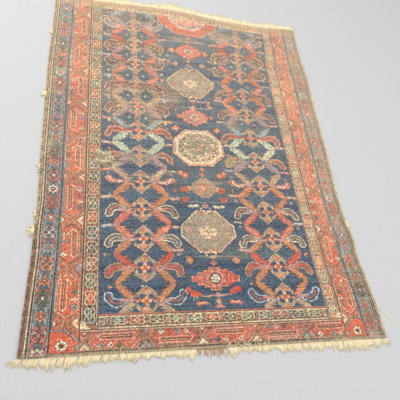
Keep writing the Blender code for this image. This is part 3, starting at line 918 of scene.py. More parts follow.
def rosette(pen, reach_s, reach_t, petals):
    """Eight round petals: each row of petals has a radius and a colour."""
    for radius, colour in petals:
        for place in around(8, reach_s, reach_t):
            pen.spot(*place, radius, colour)


def crossing(band, s, half, light):
    """Where two cartouches meet: crossed lines with a pale arrowhead at either edge."""
    pen = Pen(band, s, 0.0)
    for slope in (-1.0, 1.0):
        for width, colour in ((0.0098, (128, 78, 62)), (0.0058, (222, 184, 148)), (FINE, BROWN)):
            pen.line([(-0.032, -slope * half), (0.032, slope * half)], width, colour)
    for side, wide in ((-1.0, 0.014), (1.0, 0.02)):
        edge = pen.turned(1.0, side)
        tip = half - 1.05 * wide
        edge.fill([(-wide - 0.003, half), (0, tip - 0.004), (wide + 0.003, half)], BROWN)
        edge.fill([(-wide, half), (0, tip), (wide, half)], light)
        edge.fill([(-0.45 * wide, half), (0, tip + 0.55 * wide), (0.45 * wide, half)], MADDER)


def dotted(band, s0, s1, t, colour):
    """A line of single light knots."""
    count = int((s1 - s0) / 0.0055)
    for k in range(count):
        band.disc(s0 + (k + 0.5) * (s1 - s0) / count, t, 0.0017, colour)


def cartouche(band, start, end, half, side, petals, turn, line):
    """A long six-sided panel: a long loop of lines down one side, flowers down the other."""
    low, high = start + 0.02, end - 0.02
    rim = half - 0.005
    frame_line, core = ((136, 84, 66), DARK) if line is CREAM else ((168, 98, 76), BROWN)
    panel = [(low - 0.004, 0), (low + 0.024, rim), (high - 0.024, rim), (high + 0.004, 0),
             (high - 0.024, -rim), (low + 0.024, -rim)]
    band.stroke(panel, 0.0068, frame_line, closed=True)
    band.stroke(panel, FINE, (line, GREEN, PINK)[turn % 3], closed=True)
    middle = side * 0.30 * half
    first, last = low + 0.018, high - 0.018
    for reach, width, colour in ((0.0125, 0.0032, frame_line), (0.0095, THIN, line), (0.003, THIN, core)):
        for t in (middle + reach, middle - reach):
            band.stroke([(first + 0.01, t), (last - 0.006, t)], width, colour)
    dotted(band, first + 0.014, last - 0.012, middle, IVORY)
    loop = 0.0095
    band.stroke([(first + 0.01, middle + loop), (first, middle), (first + 0.01, middle - loop)], THIN, line)
    band.stroke([(last - 0.006, middle + loop), (last + 0.004, middle - 0.004 * side),
                 (last - 0.01, middle - 0.022 * side), (last - 0.02, middle - 0.018 * side)], 0.0032, line)
    for k in range(4):
        s = low + 0.03 + (high - low - 0.066) * k / 3
        tiny_flower(Pen(band, s, -side * 0.58 * half), petals[k % len(petals)], RED if k % 2 else DARK)
    far = side * (rim - 0.006)
    band.stroke([(low + 0.022, far), (high - 0.022, far)], FINE, PINK)


def main_border(band, first, last, pitch, half, line=CREAM):
    """Crossings and cartouches in turn along the border, on red."""
    petals = [(SKY, IVORY, GREEN, GOLD), (IVORY, RED, SKY, CREAM), (BLUE, CREAM, ROSE, IVORY)]
    count = math.ceil((last - first) / pitch) + 1
    for k in range(-1, count):
        s = first + k * pitch
        cartouche(band, s, s + pitch, half, 1.0 if k % 2 else -1.0, petals[k % 3], k, line)
    for k in range(-1, count + 1):
        crossing(band, first + k * pitch, half, (CREAM, SKY, IVORY)[k % 3])


def guard_scroll(band, first, last, pitch, half, fills, shade):
    """Curled scrolls outlined in cream, with slanting ribbons between them."""
    curl = [(0.0, 0.56), (0.006, 0.78), (0.014, 0.88), (0.022, 0.72), (0.0245, 0.36), (0.02, 0.0),
            (0.0245, -0.36), (0.022, -0.72), (0.014, -0.88), (0.006, -0.78), (0.0, -0.56)]
    outline = scaled(curl, 1.0, half) + scaled(curl, -1.0, -half)
    ribbon = [(0.012, -0.95 * half), (0.001, -0.3 * half), (-0.001, 0.3 * half), (-0.012, 0.95 * half)]
    for k in range(-1, math.ceil((last - first) / pitch) + 1):
        pen = Pen(band, first + k * pitch, 0.0)
        between = pen.moved(0.5 * pitch, 0.0).turned(1.0, 1.0 if k % 2 else -1.0)
        for width, colour in ((0.0118, shade), (0.0082, CREAM), (0.0046, (ROSE, RED, BROWN)[k % 3])):
            between.line(ribbon, width, colour)
        pen.line(outline, 0.0084, shade, closed=True)
        pen.fill(outline, fills[k % len(fills)])
        pen.line(outline, 0.0032, CREAM, closed=True)
        for mirror in (1.0, -1.0):
            for flip in (-1.0, 1.0):
                quarter = pen.turned(mirror, flip)
                quarter.line([(0, 0.56 * half), (0.005, 0.16 * half), (0.013, 0.24 * half)], HAIR, CREAM)
                quarter.spot(0.013, 0.54 * half, 0.003, shade)


def guard_rosettes(band, first, last, pitch, half, grounds):
    """Rosettes and crossed leaves in turn on changing grounds."""
    quarter = 0.25 * pitch
    for k in range(-1, math.ceil((last - first) / pitch) + 1):
        pen = Pen(band, first + k * pitch, 0.0)
        pen.fill(block(0.5 * pitch, half), grounds[k % 6])
        for flip in (-1.0, 1.0):
            edge = half - 0.003
            for place in (-quarter, quarter):
                notch = pen.moved(place, 0.0).turned(1.0, flip)
                notch.line([(-0.013, edge), (-0.004, edge - 0.007), (0.004, edge - 0.007), (0.013, edge)],
                           BOLD, (SKY, ROSE, (150, 176, 172))[(k + (place > 0)) % 3])
            curl = pen.moved(0.5 * pitch, 0.0).turned(1.0, flip)
            curl.line([(-0.006, 0.008), (0, 0.015), (0.006, 0.008)], 0.0036,
                      (RED, ROSE, (196, 170, 140))[k % 3])
        if k % 2 == 0:
            petal = (IVORY, SALMON, GOLD, SKY, ROSE)[(k // 2) % 5]
            rosette(pen, 0.0135, 0.0125, ((0.0052, DARK), (0.004, petal)))
            pen.spot(0, 0, 0.006, IVORY if petal is ROSE else RED)
            pen.spot(0, 0, 0.0024, IVORY)
            continue
        leaf = (ROSE, GREEN, SALMON, SKY, RED)[(k // 2) % 5]
        for flip in (-1.0, 1.0):
            bend = [(-0.021, -0.006), (-0.013, -0.016), (0, 0), (0.013, 0.016), (0.021, 0.006)]
            for width, colour in ((0.0088, DARK), (0.0054, leaf)):
                pen.turned(1.0, flip).line(bend, width, colour)
        pen.spot(0, 0, 0.007, DARK)
        pen.spot(0, 0, 0.005, (GOLD, IVORY)[(k // 2) % 2])


class Strip:
    """A border strip along one edge of the rug: t grows towards the field along a side."""

    def __init__(self, knots, side=None, turn=1.0):
        across = side is None
        low, high = knots.low[1 if across else 0], knots.high[1 if across else 0]
        middle = (low + high) / 2
        self.half = (high - low) / 2
        self.low = knots.low[0 if across else 1] - 0.01
        self.high = knots.high[0 if across else 1] + 0.01
        if across:
            self.band = Band(knots, (0.0, middle), (1.0, 0.0), turn)
        else:
            self.band = Band(knots, (middle, 0.0), (0.0, 1.0), -side)

    def lines(self, rows):
        """Plain lines that run the whole length: place across, width and colour."""
        for t, width, colour in rows:
            self.band.stroke([(self.low, t), (self.high, t)], width, colour)

    def edge_lines(self, upper, lower):
        """Plain lines beside each edge: how far inside it, width and colour."""
        self.lines([(self.half - inset, width, colour) for inset, width, colour in upper])
        self.lines([(inset - self.half, width, colour) for inset, width, colour in lower])


def outer_corner(knots, side):
    """A pen at the near outer corner of a side strip. Its x grows towards the field."""
    return Pen(knots, knots.low[0] if side > 0 else knots.high[0], knots.low[1], side)


def inner_guard_cartoon(knots, side):
    strip = Strip(knots, side)
    if side > 0:
        ground, fills, shade = GUARD_GROUND, LEFT_GUARD_FILLS, GUARD_SHADE
    else:
        ground, fills, shade = (206, 150, 110), RIGHT_GUARD_FILLS, (138, 98, 78)
    knots.ground(ground)
    guard_scroll(strip.band, 0.054, strip.high, 0.0585, strip.half - 0.009, fills, shade)
    strip.edge_lines([(0.001, BOLD, MAUVE), (0.004, THIN, DARK), (0.007, LINE, CREAM),
                      (0.0095, 0.0024, BROWN)],
                     [(0.001, LINE, DARK), (0.0042, 0.0036, CREAM), (0.0072, 0.0024, BROWN)])
    outer_corner(knots, side).fill([(0, 0), (0.03, 0), (0.008, 0.026), (0, 0.026)], CREAM)


def main_border_cartoon(knots, side):
    knots.ground(MADDER)
    strip = Strip(knots, side)
    first, line = (-0.026, CREAM) if side > 0 else (-0.046, (240, 202, 162))
    main_border(strip.band, first, strip.high, 0.18, strip.half - 0.004, line)
    strip.edge_lines([(0.001, BOLD, DARK), (0.0045, THIN, ROSE)],
                     [(0.001, 0.0044, DARK), (0.005, THIN, TEAL)])
    corner_cartoon(outer_corner(knots, side))


def corner_cartoon(pen):
    """The plain red corner with its rosette and slanting double line."""
    pen.fill([(0, 0), (0.09, 0), (0.09, 0.03), (0.048, 0.066), (0, 0.066)], MADDER)
    for width, colour in ((0.009, BROWN), (0.0036, SKY)):
        pen.line([(0, 0.066), (0.046, 0.066), (0.088, 0.028)], width, colour)
    flower = pen.moved(0.036, 0.021)
    rosette(flower, 0.013, 0.0115, ((0.006, DARK), (0.0044, IVORY)))
    flower.spot(0, 0, 0.0052, DARK)
    for radius, colour in ((0.0095, BROWN), (0.0075, SKY), (0.003, MADDER)):
        pen.spot(0.08, 0.014, radius, colour)
    pen.line([(0, 0), (0, 0.08)], 0.006, DARK)


def outer_guard_cartoon(knots, side):
    knots.ground(NAVY)
    strip = Strip(knots, side)
    grounds = LEFT_OUTER_GROUNDS if side > 0 else RIGHT_OUTER_GROUNDS
    guard_rosettes(strip.band, -0.116, strip.high, 0.0575, strip.half - 0.005, grounds)
    strip.edge_lines([(0.0008, THIN, DARK), (0.0038, 0.0036, SKY), (0.0072, 0.0022, BROWN)],
                     [(0.0008, THIN, DARK), (0.0038, 0.0036, (176, 186, 176)), (0.0072, 0.0022, BROWN)])


def near_guard_cartoon(knots):
    knots.ground(GUARD_GROUND)
    strip = Strip(knots, turn=-1.0)
    guard_scroll(strip.band, -0.005, strip.high, 0.063, strip.half - 0.009, NEAR_GUARD_FILLS, GUARD_SHADE)
    strip.edge_lines([(0.002, BOLD, CREAM), (0.0055, 0.0024, BROWN)],
                     [(0.0012, BOLD, ROSE), (0.0046, THIN, BROWN), (0.008, LINE, CREAM)])


def near_border_cartoon(knots):
    knots.ground((208, 104, 82))
    strip = Strip(knots, turn=-1.0)
    main_border(strip.band, -0.04, strip.high, 0.186, strip.half - 0.003, (228, 176, 142))
    strip.edge_lines([(0.001, 0.0036, DARK), (0.0045, 0.0024, TAN)],
                     [(0.001, 0.0044, DARK), (0.005, FINE, (214, 164, 132)), (0.0084, 0.0024, BROWN)])


def end_stripe_cartoon(knots):
    knots.ground(CREAM)
    left, right, end = knots.low[0], knots.high[0], knots.high[1]
    dash = 0.010
    y = (knots.low[1] + end) / 2 + 0.001
    for k in range(int((right - left) / dash)):
        x = left + dash * k
        knots.stroke([(x, y), (x + 0.7 * dash, y)], 0.0044, (DARK, GREEN, BROWN, TEAL)[k % 4])
    knots.stroke([(left, end), (right, end)], BOLD, DARK)


def far_guard_cartoon(knots):
    knots.ground((206, 170, 134))
    strip = Strip(knots)
    fills = (GOLD, SALMON, TAN, BROWN)
    guard_scroll(strip.band, 0.02, strip.high, 0.06, strip.half - 0.007, fills, GUARD_SHADE)
    strip.edge_lines([(0.003, 0.005, CREAM)], [(0.0015, THIN, BROWN), (0.005, 0.0044, CREAM)])


def far_border_cartoon(knots):
    knots.ground((240, 170, 124))
    strip = Strip(knots)
    strip.lines([(0.004, BOLD, CREAM), (-0.0085, THIN, BROWN), (0.01, 0.005, CREAM)])
    first, pitch = -0.20, 0.017
    for k in range(int((strip.high - first) / pitch) + 1):
        strip.band.disc(first + pitch * k, -0.003, 0.0036, (BROWN, CREAM, GREEN, RED)[k % 4])


def selvedge_cartoon(knots, side):
    knots.ground(CREAM)
    strip = Strip(knots, side)
    if side < 0:
        strip.lines([(0.0, 0.0044, (110, 84, 66))])
    strip.lines([(0.006, LINE, DARK), (0.0034, HAIR, (196, 178, 142)), (-0.0026, LINE, (104, 76, 60))])
    if side > 0:
        left = knots.low[0]
        knots.polygon([(left, strip.low), (left + 0.004, strip.low), (left + 0.0032, 0.30), (left, 0.31)],
                      (146, 108, 84))


def back_cartoon(knots):
    """The pattern as it shows on the back: the same knots, seen from behind."""
    field_cartoon(knots)
    plain = [("inner_guard", ("left", "right", "near"), GUARD_GROUND),
             ("main_border", ("left", "right", "near"), MADDER),
             ("outer_guard", ("left", "right"), BLUE),
             ("selvedge_band", ("left", "right"), CREAM),
             ("end_stripe", ("near",), CREAM)]
    nodes = [(f"{name}_{place}", colour) for name, places, colour in plain for place in places]
    for node, colour in nodes + [("far_guard", TAN), ("far_border", SALMON)]:
        (x0, y0), (x1, y1) = plan_of(node)
        knots.polygon([(x0, y0), (x1, y0), (x1, y1), (x0, y1)], colour)
    for side, name in ((1.0, "left"), (-1.0, "right")):
        (x0, _), (x1, _) = plan_of(f"main_border_{name}")
        band = Band(knots, ((x0 + x1) / 2, 0.0), (0.0, 1.0), -side)
        main_border(band, -0.02, 1.52, 0.18, (x1 - x0) / 2 - 0.002)


# ---------------------------------------------------------------- materials


class Nodes:
    """A short way to write a material's nodes."""

    def __init__(self, name):
        self.material = bpy.data.materials.new(name)
        self.material.use_nodes = True
        self.tree = self.material.node_tree
        self.shader = self.tree.nodes["Principled BSDF"]

    def add(self, kind, inputs=(), **settings):
        node = self.tree.nodes.new(kind)
        for key, value in settings.items():
            setattr(node, key, value)
        for key, value in dict(inputs).items():
            self.put(node.inputs[key], value)
        return node

    def put(self, socket, value):
        if isinstance(value, bpy.types.NodeSocket):
            self.tree.links.new(value, socket)
        else:
            socket.default_value = value

    def attribute(self, name, output="Fac"):
        return self.add("ShaderNodeAttribute", attribute_name=name).outputs[output]

    def maths(self, operation, a, b=0.0, clamp=False):
        return self.add("ShaderNodeMath", {0: a, 1: b}, operation=operation, use_clamp=clamp).outputs[0]

    def place(self, scale):
        """Object coordinates, which are metres on the rug, stretched by a scale."""
        where = self.add("ShaderNodeTexCoord").outputs["Object"]
        return self.add("ShaderNodeMapping", {"Vector": where, "Scale": scale}).outputs["Vector"]

    def noise(self, vector, scale, detail=3.0, roughness=0.6):
        inputs = {"Vector": vector, "Scale": scale, "Detail": detail, "Roughness": roughness}
        return self.add("ShaderNodeTexNoise", inputs).outputs["Fac"]

    def ramp(self, fac, stops):
        """A grey or coloured ramp: (place, colour) for each stop."""
        node = self.add("ShaderNodeValToRGB", {"Fac": fac})
        elements = node.color_ramp.elements
        while len(elements) < len(stops):
            elements.new(0.5)
        for element, (place, colour) in zip(elements, stops):
            element.position = place
            colour = (colour,) * 3 if isinstance(colour, (int, float)) else colour
            element.color = (*colour, 1.0)
        return node.outputs["Color"]

    def mix(self, fac, a, b, blend="MIX"):
        node = self.add("ShaderNodeMix", data_type="RGBA", blend_type=blend)
        self.put(node.inputs[0], fac)
        self.put(node.inputs[6], a)
        self.put(node.inputs[7], b)
        return node.outputs[2]

    def finish(self, colour, roughness, height, strength, distance, sheen):
        """Link the looks to the shader, with constant sheen on its own sockets."""
        self.put(self.shader.inputs["Base Color"], colour)
        self.put(self.shader.inputs["Roughness"], roughness)
        self.shader.inputs["Specular IOR Level"].default_value = 0.12
        self.shader.inputs["Sheen Weight"].default_value = sheen
        self.shader.inputs["Sheen Roughness"].default_value = 0.55
        self.shader.inputs["Sheen Tint"].default_value = (1.0, 0.95, 0.88, 1.0)
        inputs = {"Height": height, "Strength": strength, "Distance": distance}
        self.put(self.shader.inputs["Normal"], self.add("ShaderNodeBump", inputs).outputs["Normal"])
        return self.material


def solid(colour):
    return (*linear(colour), 1.0)


def pile_material(name):
    """Dyed wool pile: rows of knots, streaked dye, bleaching, and wear down to cotton."""
    n = Nodes(name)
    dye = n.attribute("dye", "Color")
    wear = n.attribute("wear")
    fade = n.attribute("fade")
    plain = n.place((1, 1, 1))
    streaks = n.noise(n.place((4, 70, 1)), 1.0, 4.0)
    broad = n.noise(plain, 5.0, 3.0)
    fleck = n.noise(plain, 420.0, 2.0, 0.7)
    fine = n.noise(plain, 150.0, 3.0, 0.7)
    colour = n.mix(1.0, dye, n.ramp(streaks, [(0.30, 0.80), (0.70, 1.20)]), "MULTIPLY")
    threads_seen = n.noise(n.place((2.5, 150, 1)), 1.0, 5.0, 0.7)
    colour = n.mix(n.ramp(threads_seen, [(0.50, 0.0), (0.78, 0.55)]), colour, solid((134, 138, 124)))
    warmth = n.ramp(broad, [(0.30, (0.86, 0.90, 0.95)), (0.72, (1.15, 1.06, 0.98))])
    colour = n.mix(1.0, colour, warmth, "MULTIPLY")
    colour = n.mix(1.0, colour, n.ramp(fleck, [(0.30, 0.74), (0.70, 1.26)]), "MULTIPLY")
    bleached = n.mix(0.42, n.mix(1.0, colour, (1.9, 1.85, 1.75, 1.0), "MULTIPLY"), solid((240, 204, 160)))
    colour = n.mix(n.maths("MULTIPLY", fade, n.maths("ADD", broad, 0.35), True), colour, bleached)
    bare = n.maths("ADD", n.maths("MULTIPLY", wear, 1.25), n.maths("MULTIPLY", fine, 0.9))
    bare = n.maths("ADD", bare, n.maths("MULTIPLY", n.maths("SUBTRACT", streaks, 0.5), 1.1))
    bare = n.ramp(bare, [(0.80, 0.0), (1.25, 0.80)])
    warps = n.add("ShaderNodeTexWave", {"Vector": n.place((1, 0.03, 1)), "Scale": 260.0, "Distortion": 2.0,
                                        "Detail": 2.0}, bands_direction="X").outputs["Fac"]
    threads = n.ramp(warps, [(0.2, linear((150, 124, 98))), (0.8, linear((214, 190, 152)))])
    worn_wool = n.mix(0.30, threads, colour)
    colour = n.mix(bare, colour, worn_wool)
    roughness = n.ramp(fine, [(0.3, 0.82), (0.7, 0.98)])
    rows = n.add("ShaderNodeTexWave", {"Vector": plain, "Scale": 62.8, "Distortion": 3.0, "Detail": 2.0,
                                       "Detail Scale": 3.0}, bands_direction="Y").outputs["Fac"]
    columns = n.add("ShaderNodeTexWave", {"Vector": plain, "Scale": 62.8, "Distortion": 2.0, "Detail": 2.0},
                    bands_direction="X").outputs["Fac"]
    relief = n.maths("ADD", n.maths("MULTIPLY", rows, columns), n.maths("MULTIPLY", fleck, 0.9))
    return n.finish(colour, roughness, relief, 0.55, 0.0010, 0.28)


def weave_material(name):
    """The back of the rug: paler dyes in tidy rows, with the cotton wefts between."""
    n = Nodes(name)
    dye = n.attribute("dye", "Color")
    plain = n.place((1, 1, 1))
    fine = n.noise(plain, 300.0, 3.0)
    wefts = n.add("ShaderNodeTexWave", {"Vector": plain, "Scale": 125.0, "Distortion": 1.0},
                  bands_direction="Y").outputs["Fac"]
    colour = n.mix(0.30, dye, solid(COTTON))
    colour = n.mix(n.ramp(wefts, [(0.70, 0.0), (0.95, 0.6)]), colour, solid((206, 184, 146)))
    colour = n.mix(1.0, colour, n.ramp(fine, [(0.3, 0.8), (0.7, 1.15)]), "MULTIPLY")
    roughness = n.ramp(fine, [(0.3, 0.85), (0.7, 0.97)])
    return n.finish(colour, roughness, wefts, 0.5, 0.0008, 0.10)


def yarn_material(name, pale, deep, twist, sheen):
    """Spun yarn: tone changes strand by strand and along each one, with a spun twist."""
    n = Nodes(name)
    tone = n.attribute("tone")
    plain = n.place((1, 1, 1))
    patchy = n.noise(plain, 26.0, 3.0)
    fibre = n.noise(plain, 900.0, 2.0)
    blend = n.maths("ADD", n.maths("MULTIPLY", tone, 0.75), n.maths("MULTIPLY", patchy, 0.5))
    colour = n.mix(n.ramp(blend, [(0.35, 0.0), (1.05, 1.0)]), solid(pale), solid(deep))
    colour = n.mix(1.0, colour, n.ramp(fibre, [(0.3, 0.84), (0.7, 1.12)]), "MULTIPLY")
    turns = n.add("ShaderNodeTexWave", {"Vector": plain, "Scale": twist, "Distortion": 1.5, "Detail": 1.0},
                  bands_direction="DIAGONAL").outputs["Fac"]
    relief = n.maths("ADD", n.maths("MULTIPLY", turns, 0.7), fibre)
    roughness = n.ramp(patchy, [(0.3, 0.84), (0.7, 0.96)])
    return n.finish(colour, roughness, relief, 0.45, 0.0006, sheen)


# ---------------------------------------------------------------- meshes


def plan_of(node):
    """A CAD node's plan box as (across, along) corners."""
    low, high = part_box(node)
    return (low.x - ORIGIN_X, low.y - ORIGIN_Y), (high.x - ORIGIN_X, high.y - ORIGIN_Y)


def make_object(name, vertices, faces, material, smooth=None):
    """A mesh object from rows of vertices and rows of four-cornered faces."""
    mesh = bpy.data.meshes.new(name)
    mesh.vertices.add(len(vertices))
    mesh.vertices.foreach_set("co", np.asarray(vertices, np.float32).ravel())
    mesh.loops.add(faces.size)
    mesh.loops.foreach_set("vertex_index", faces.astype(np.int32).ravel())
    mesh.polygons.add(len(faces))
    mesh.polygons.foreach_set("loop_start", np.arange(0, faces.size, 4, dtype=np.int32))
    flags = np.ones(len(faces), bool) if smooth is None else smooth
    mesh.polygons.foreach_set("use_smooth", flags)
    mesh.update(calc_edges=True)
    mesh.materials.append(material)
    thing = bpy.data.objects.new(name, mesh)
    bpy.context.scene.collection.objects.link(thing)
    return thing


def add_numbers(mesh, name, values):
    """One number at each vertex, for the material to read."""
    values = np.asarray(values, np.float32).ravel()
    mesh.attributes.new(name, "FLOAT", "POINT").data.foreach_set("value", values)


def add_dye(mesh, yarn):
    """The yarn colour of each face, for the material to read."""
    colours = np.ones((yarn.shape[0] * yarn.shape[1], 4, 4), np.float32)
    colours[:, :, :3] = linear(yarn).reshape(-1, 1, 3)
    layer = mesh.color_attributes.new("dye", "FLOAT_COLOR", "CORNER")
    layer.data.foreach_set("color", colours.ravel())


def add_plan_map(mesh):
    """A flat map of the piece seen from above, filling the whole square."""
    corner = np.empty(len(mesh.loops), np.int32)
    mesh.loops.foreach_get("vertex_index", corner)
    places = np.empty(len(mesh.vertices) * 3, np.float32)
    mesh.vertices.foreach_get("co", places)
    places = places.reshape(-1, 3)[:, :2]
    low = places.min(0)
    span = np.maximum(places.max(0) - low, 1e-6)
    flat = (places[corner] - low) / span
    layer = mesh.uv_layers.new(name="OFBake")
    layer.data.foreach_set("uv", flat.astype(np.float32).ravel())


def ride(piece, nodes):
    """The piece goes with the rug's one body and stands for its CAD nodes."""
    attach(piece, "root")
    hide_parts(*nodes)
    return piece


def grid_faces(shape):
    """Faces that join a grid of points into a sheet, as rows and columns."""
    index = np.arange(shape[0] * shape[1]).reshape(shape)
    return np.stack([index[:-1, :-1], index[:-1, 1:], index[1:, 1:], index[1:, :-1]], axis=-1)


def pile_piece(name, corners, cartoon, material, seed, sway):
    """A patch of pile: one face to a knot on top, and plain walls down to the weave."""
    knots = Knots(*corners, KNOT)
    cartoon(knots)
    unsettle(knots, seed, sway)
    spots = [np.linspace(low, high, count + 1) for low, high, count
             in zip(knots.low, knots.high, (knots.columns, knots.rows))]
    across, along = np.meshgrid(*[np.pad(line, 1, "edge") for line in spots])
    wear = wear_at(across, along)
    uneven = np.random.default_rng(seed).normal(0.0, PILE_ROUGHNESS, across.shape)
    height = PILE_TOP - WORN_DEPTH * wear ** 2 - TORN_DEPTH * torn_at(across, along) + uneven
    wall = np.ones(across.shape, bool)
    wall[1:-1, 1:-1] = False
    height = np.where(wall, PILE_BOTTOM, height)
    points = lie(across + ORIGIN_X, along + ORIGIN_Y, height).reshape(-1, 3)
    faces = grid_faces(across.shape)
    tops = np.zeros(faces.shape[:2], bool)
    tops[1:-1, 1:-1] = True
    thing = make_object(name, points, faces.reshape(-1, 4), material, tops.ravel())
    add_dye(thing.data, np.pad(knots.yarn, ((1, 1), (1, 1), (0, 0)), "edge"))
    add_numbers(thing.data, "wear", wear)
    add_numbers(thing.data, "fade", fade_at(across, along))
    add_plan_map(thing.data)
    return thing


def weave_piece(material):
    """The woven ground under the pile, as one thin sheet with a pattern on its back."""
    low, high = plan_of("ground_weave")
    knots = Knots(low, high, WEAVE_STEP)
    back_cartoon(knots)
    across, along = np.meshgrid(np.linspace(low[0], high[0], knots.columns + 1),
                                np.linspace(low[1], high[1], knots.rows + 1))
    middle = np.full(across.shape, (WEAVE_LOW.z + WEAVE_HIGH.z) / 2)
    points = lie(across + ORIGIN_X, along + ORIGIN_Y, middle).reshape(-1, 3)
    thing = make_object("ground_weave_sheet", points, grid_faces(across.shape).reshape(-1, 4), material)
    add_dye(thing.data, knots.yarn)
    thick = thing.modifiers.new("Thickness", "SOLIDIFY")
    thick.thickness = WEAVE_HIGH.z - WEAVE_LOW.z - WEAVE_SKIN
    thick.offset = 0.0
    return thing


def unit(rows):
    """Each row of a table as a direction of length one."""
    return rows / np.maximum(np.linalg.norm(rows, axis=1, keepdims=True), 1e-9)


def tube_rings(path, radii, sides, outward=None):
    """Rings of points round a path, which never runs straight up."""
    heading = unit(np.gradient(path, axis=0))
    first = unit(np.cross(heading, (0.0, 0.0, 1.0))) if outward is None else outward
    second = np.cross(first, heading) if outward is None else np.cross(heading, outward)
    turns = 2 * np.pi * np.arange(sides) / sides
    ring = np.cos(turns)[None, :, None] * first[:, None] + np.sin(turns)[None, :, None] * second[:, None]
    radii = np.asarray(radii, float).reshape(len(path), -1, 1)
    return path[:, None] + radii * ring


def tube_faces(count, sides, start=0):
    """Faces that join rings of points into a tube."""
    index = start + np.arange(count * sides).reshape(count, sides)
    beside = np.roll(index, -1, axis=1)
    return np.stack([index[:-1], beside[:-1], beside[1:], index[1:]], axis=-1).reshape(-1, 4)


def yarn_object(name, points, faces, tones, material):
    """A mesh of yarn that carries its tone at each point."""
    thing = make_object(name, points, faces, material)
    add_numbers(thing.data, "tone", tones)
    add_plan_map(thing.data)
    return thing


def strands_object(name, strands, sides, material):
    """Many separate strands as one mesh. Each is (path, radii, tone)."""
    points, faces, tones = [], [], []
    start = 0
    for path, radii, tone in strands:
        rings = tube_rings(path, radii, sides).reshape(-1, 3)
        points.append(rings)
        tones.append(np.full(len(rings), tone))
        faces.append(tube_faces(len(path), sides, start))
        if sides == 4:
            last = start + len(rings)
            faces.append(np.array([range(start + 3, start - 1, -1), range(last - 4, last)]))
        start += len(rings)
    return yarn_object(name, np.concatenate(points), np.concatenate(faces), np.concatenate(tones), material)


# ---------------------------------------------------------------- fringes and edges


def on_rug(x, y, height):
    """One place on the rug as it lies."""
    return np.array(lie(x, y, height), float)


def strand(root, lean, length, radius, dice, rise=0.0, tip_height=None):
    """One cut warp end that leaves its root, sags to the floor and wavers a little."""
    share = np.linspace(0, 1, 6)
    heading = lean + dice.uniform(-0.35, 0.35) * share
    step = length / 5
    moves = np.zeros((6, 3))
    moves[0] = root
    moves[1:, 0] = step * np.sin(heading[1:])
    moves[1:, 1] = step * np.cos(heading[1:])
    path = np.cumsum(moves, axis=0)
    floor = radius + FLOOR_GAP if tip_height is None else tip_height
    drop = floor + dice.uniform(0.0, 0.0016) - root[2]
    path[:, 2] = root[2] + drop * np.minimum(1, 1.6 * share) + rise * np.sin(np.pi * share)
    return path, radius * np.array([1.0, 1.05, 1.0, 0.95, 0.85, 0.45])


def corner_fan(across):
    """How the outermost warp ends splay away from the rug."""
    left = np.clip((WEAVE_LEFT + 0.030 - across) / 0.030, 0, 1)
    right = np.clip((across - WEAVE_RIGHT + 0.024) / 0.024, 0, 1)
    return float(0.85 * right - 0.95 * left)


def swept_share(across):
    """How far the warp ends take part in the sweep to the left."""
    return np.interp(across, [-0.22, -0.15, 0.30, 0.60], [0.0, 1.0, 1.0, 0.0])


def fringe_strands(edge_along, direction, dice, reach_at, kind_at):
    """The warp ends of one end of the rug, bunched into small tufts."""
    strands = []
    pitch = (WEAVE_RIGHT - WEAVE_LEFT) / FRINGE_ENDS
    base = 0.0 if direction > 0 else math.pi
    k = 0
    while k < FRINGE_ENDS:
        bunch = dice.randrange(8, 30)
        middle = WEAVE_LEFT + (k + bunch / 2) * pitch
        bunch_lean = dice.gauss(0.0, 0.20)
        bunch_reach = dice.uniform(0.55, 1.25)
        for _ in range(min(bunch, FRINGE_ENDS - k)):
            across = WEAVE_LEFT + (k + dice.uniform(0.2, 0.8)) * pitch
            k += 1
            kind = kind_at(across)
            if dice.random() > kind["keep"]:
                continue
            reach = reach_at(across) * (bunch_reach if k % 3 else 0.75) * dice.uniform(0.72, 1.06)
            gather = (middle - across) * (0.09 if k % 3 else 0.03) / max(reach, 0.01)
            lean = bunch_lean + gather + kind["splay"] * dice.gauss(0.0, 1.0) + corner_fan(across)
            lean = lean + kind["sweep"] * swept_share(across)
            root = on_rug(across + ORIGIN_X, edge_along + ORIGIN_Y - direction * 0.003, 0.0014)
            radius = kind["radius"] * dice.uniform(0.8, 1.2)
            path, radii = strand(root, base + direction * lean, reach + 0.003, radius, dice)
            strands.append((path, radii, kind["tone"] + dice.uniform(-0.22, 0.22)))
    return strands


# How many of the warp ends are left, how they splay, how thick and dark they are, and how far
# they were swept to the left.
PLAIN_KIND = {"keep": 1.0, "splay": 0.12, "radius": 0.00095, "tone": 0.20, "sweep": -0.28}
BROWN_KIND = {"keep": 0.20, "splay": 0.50, "radius": 0.00100, "tone": 1.05, "sweep": 0.0}
THIN_KIND = {"keep": 0.55, "splay": 0.38, "radius": 0.00095, "tone": 0.10, "sweep": 0.0}
FAR_KIND = {"keep": 1.0, "splay": 0.20, "radius": 0.00100, "tone": 0.0, "sweep": 0.0}


def near_kind(across):
    if 0.31 < across < 0.405:
        return BROWN_KIND
    if 0.405 < across < 0.54:
        return THIN_KIND
    return PLAIN_KIND


def far_kind(_):
    return FAR_KIND


def near_reach(across):
    stations = [-0.22, -0.10, 0.05, 0.20, 0.32, 0.40, 0.52, 0.70, 0.90, 1.00, 1.02]
    reaches = [0.034, 0.036, 0.031, 0.027, 0.034, 0.034, 0.026, 0.028, 0.036, 0.034, 0.026]
    return float(np.interp(across, stations, reaches))


def far_reach(across):
    stations = [-0.22, 0.10, 0.24, 0.30, 0.40, 0.50, 0.62, 0.75, 0.90, 1.02]
    reaches = [0.040, 0.036, 0.036, 0.056, 0.050, 0.050, 0.044, 0.046, 0.044, 0.042]
    return float(np.interp(across, stations, reaches))


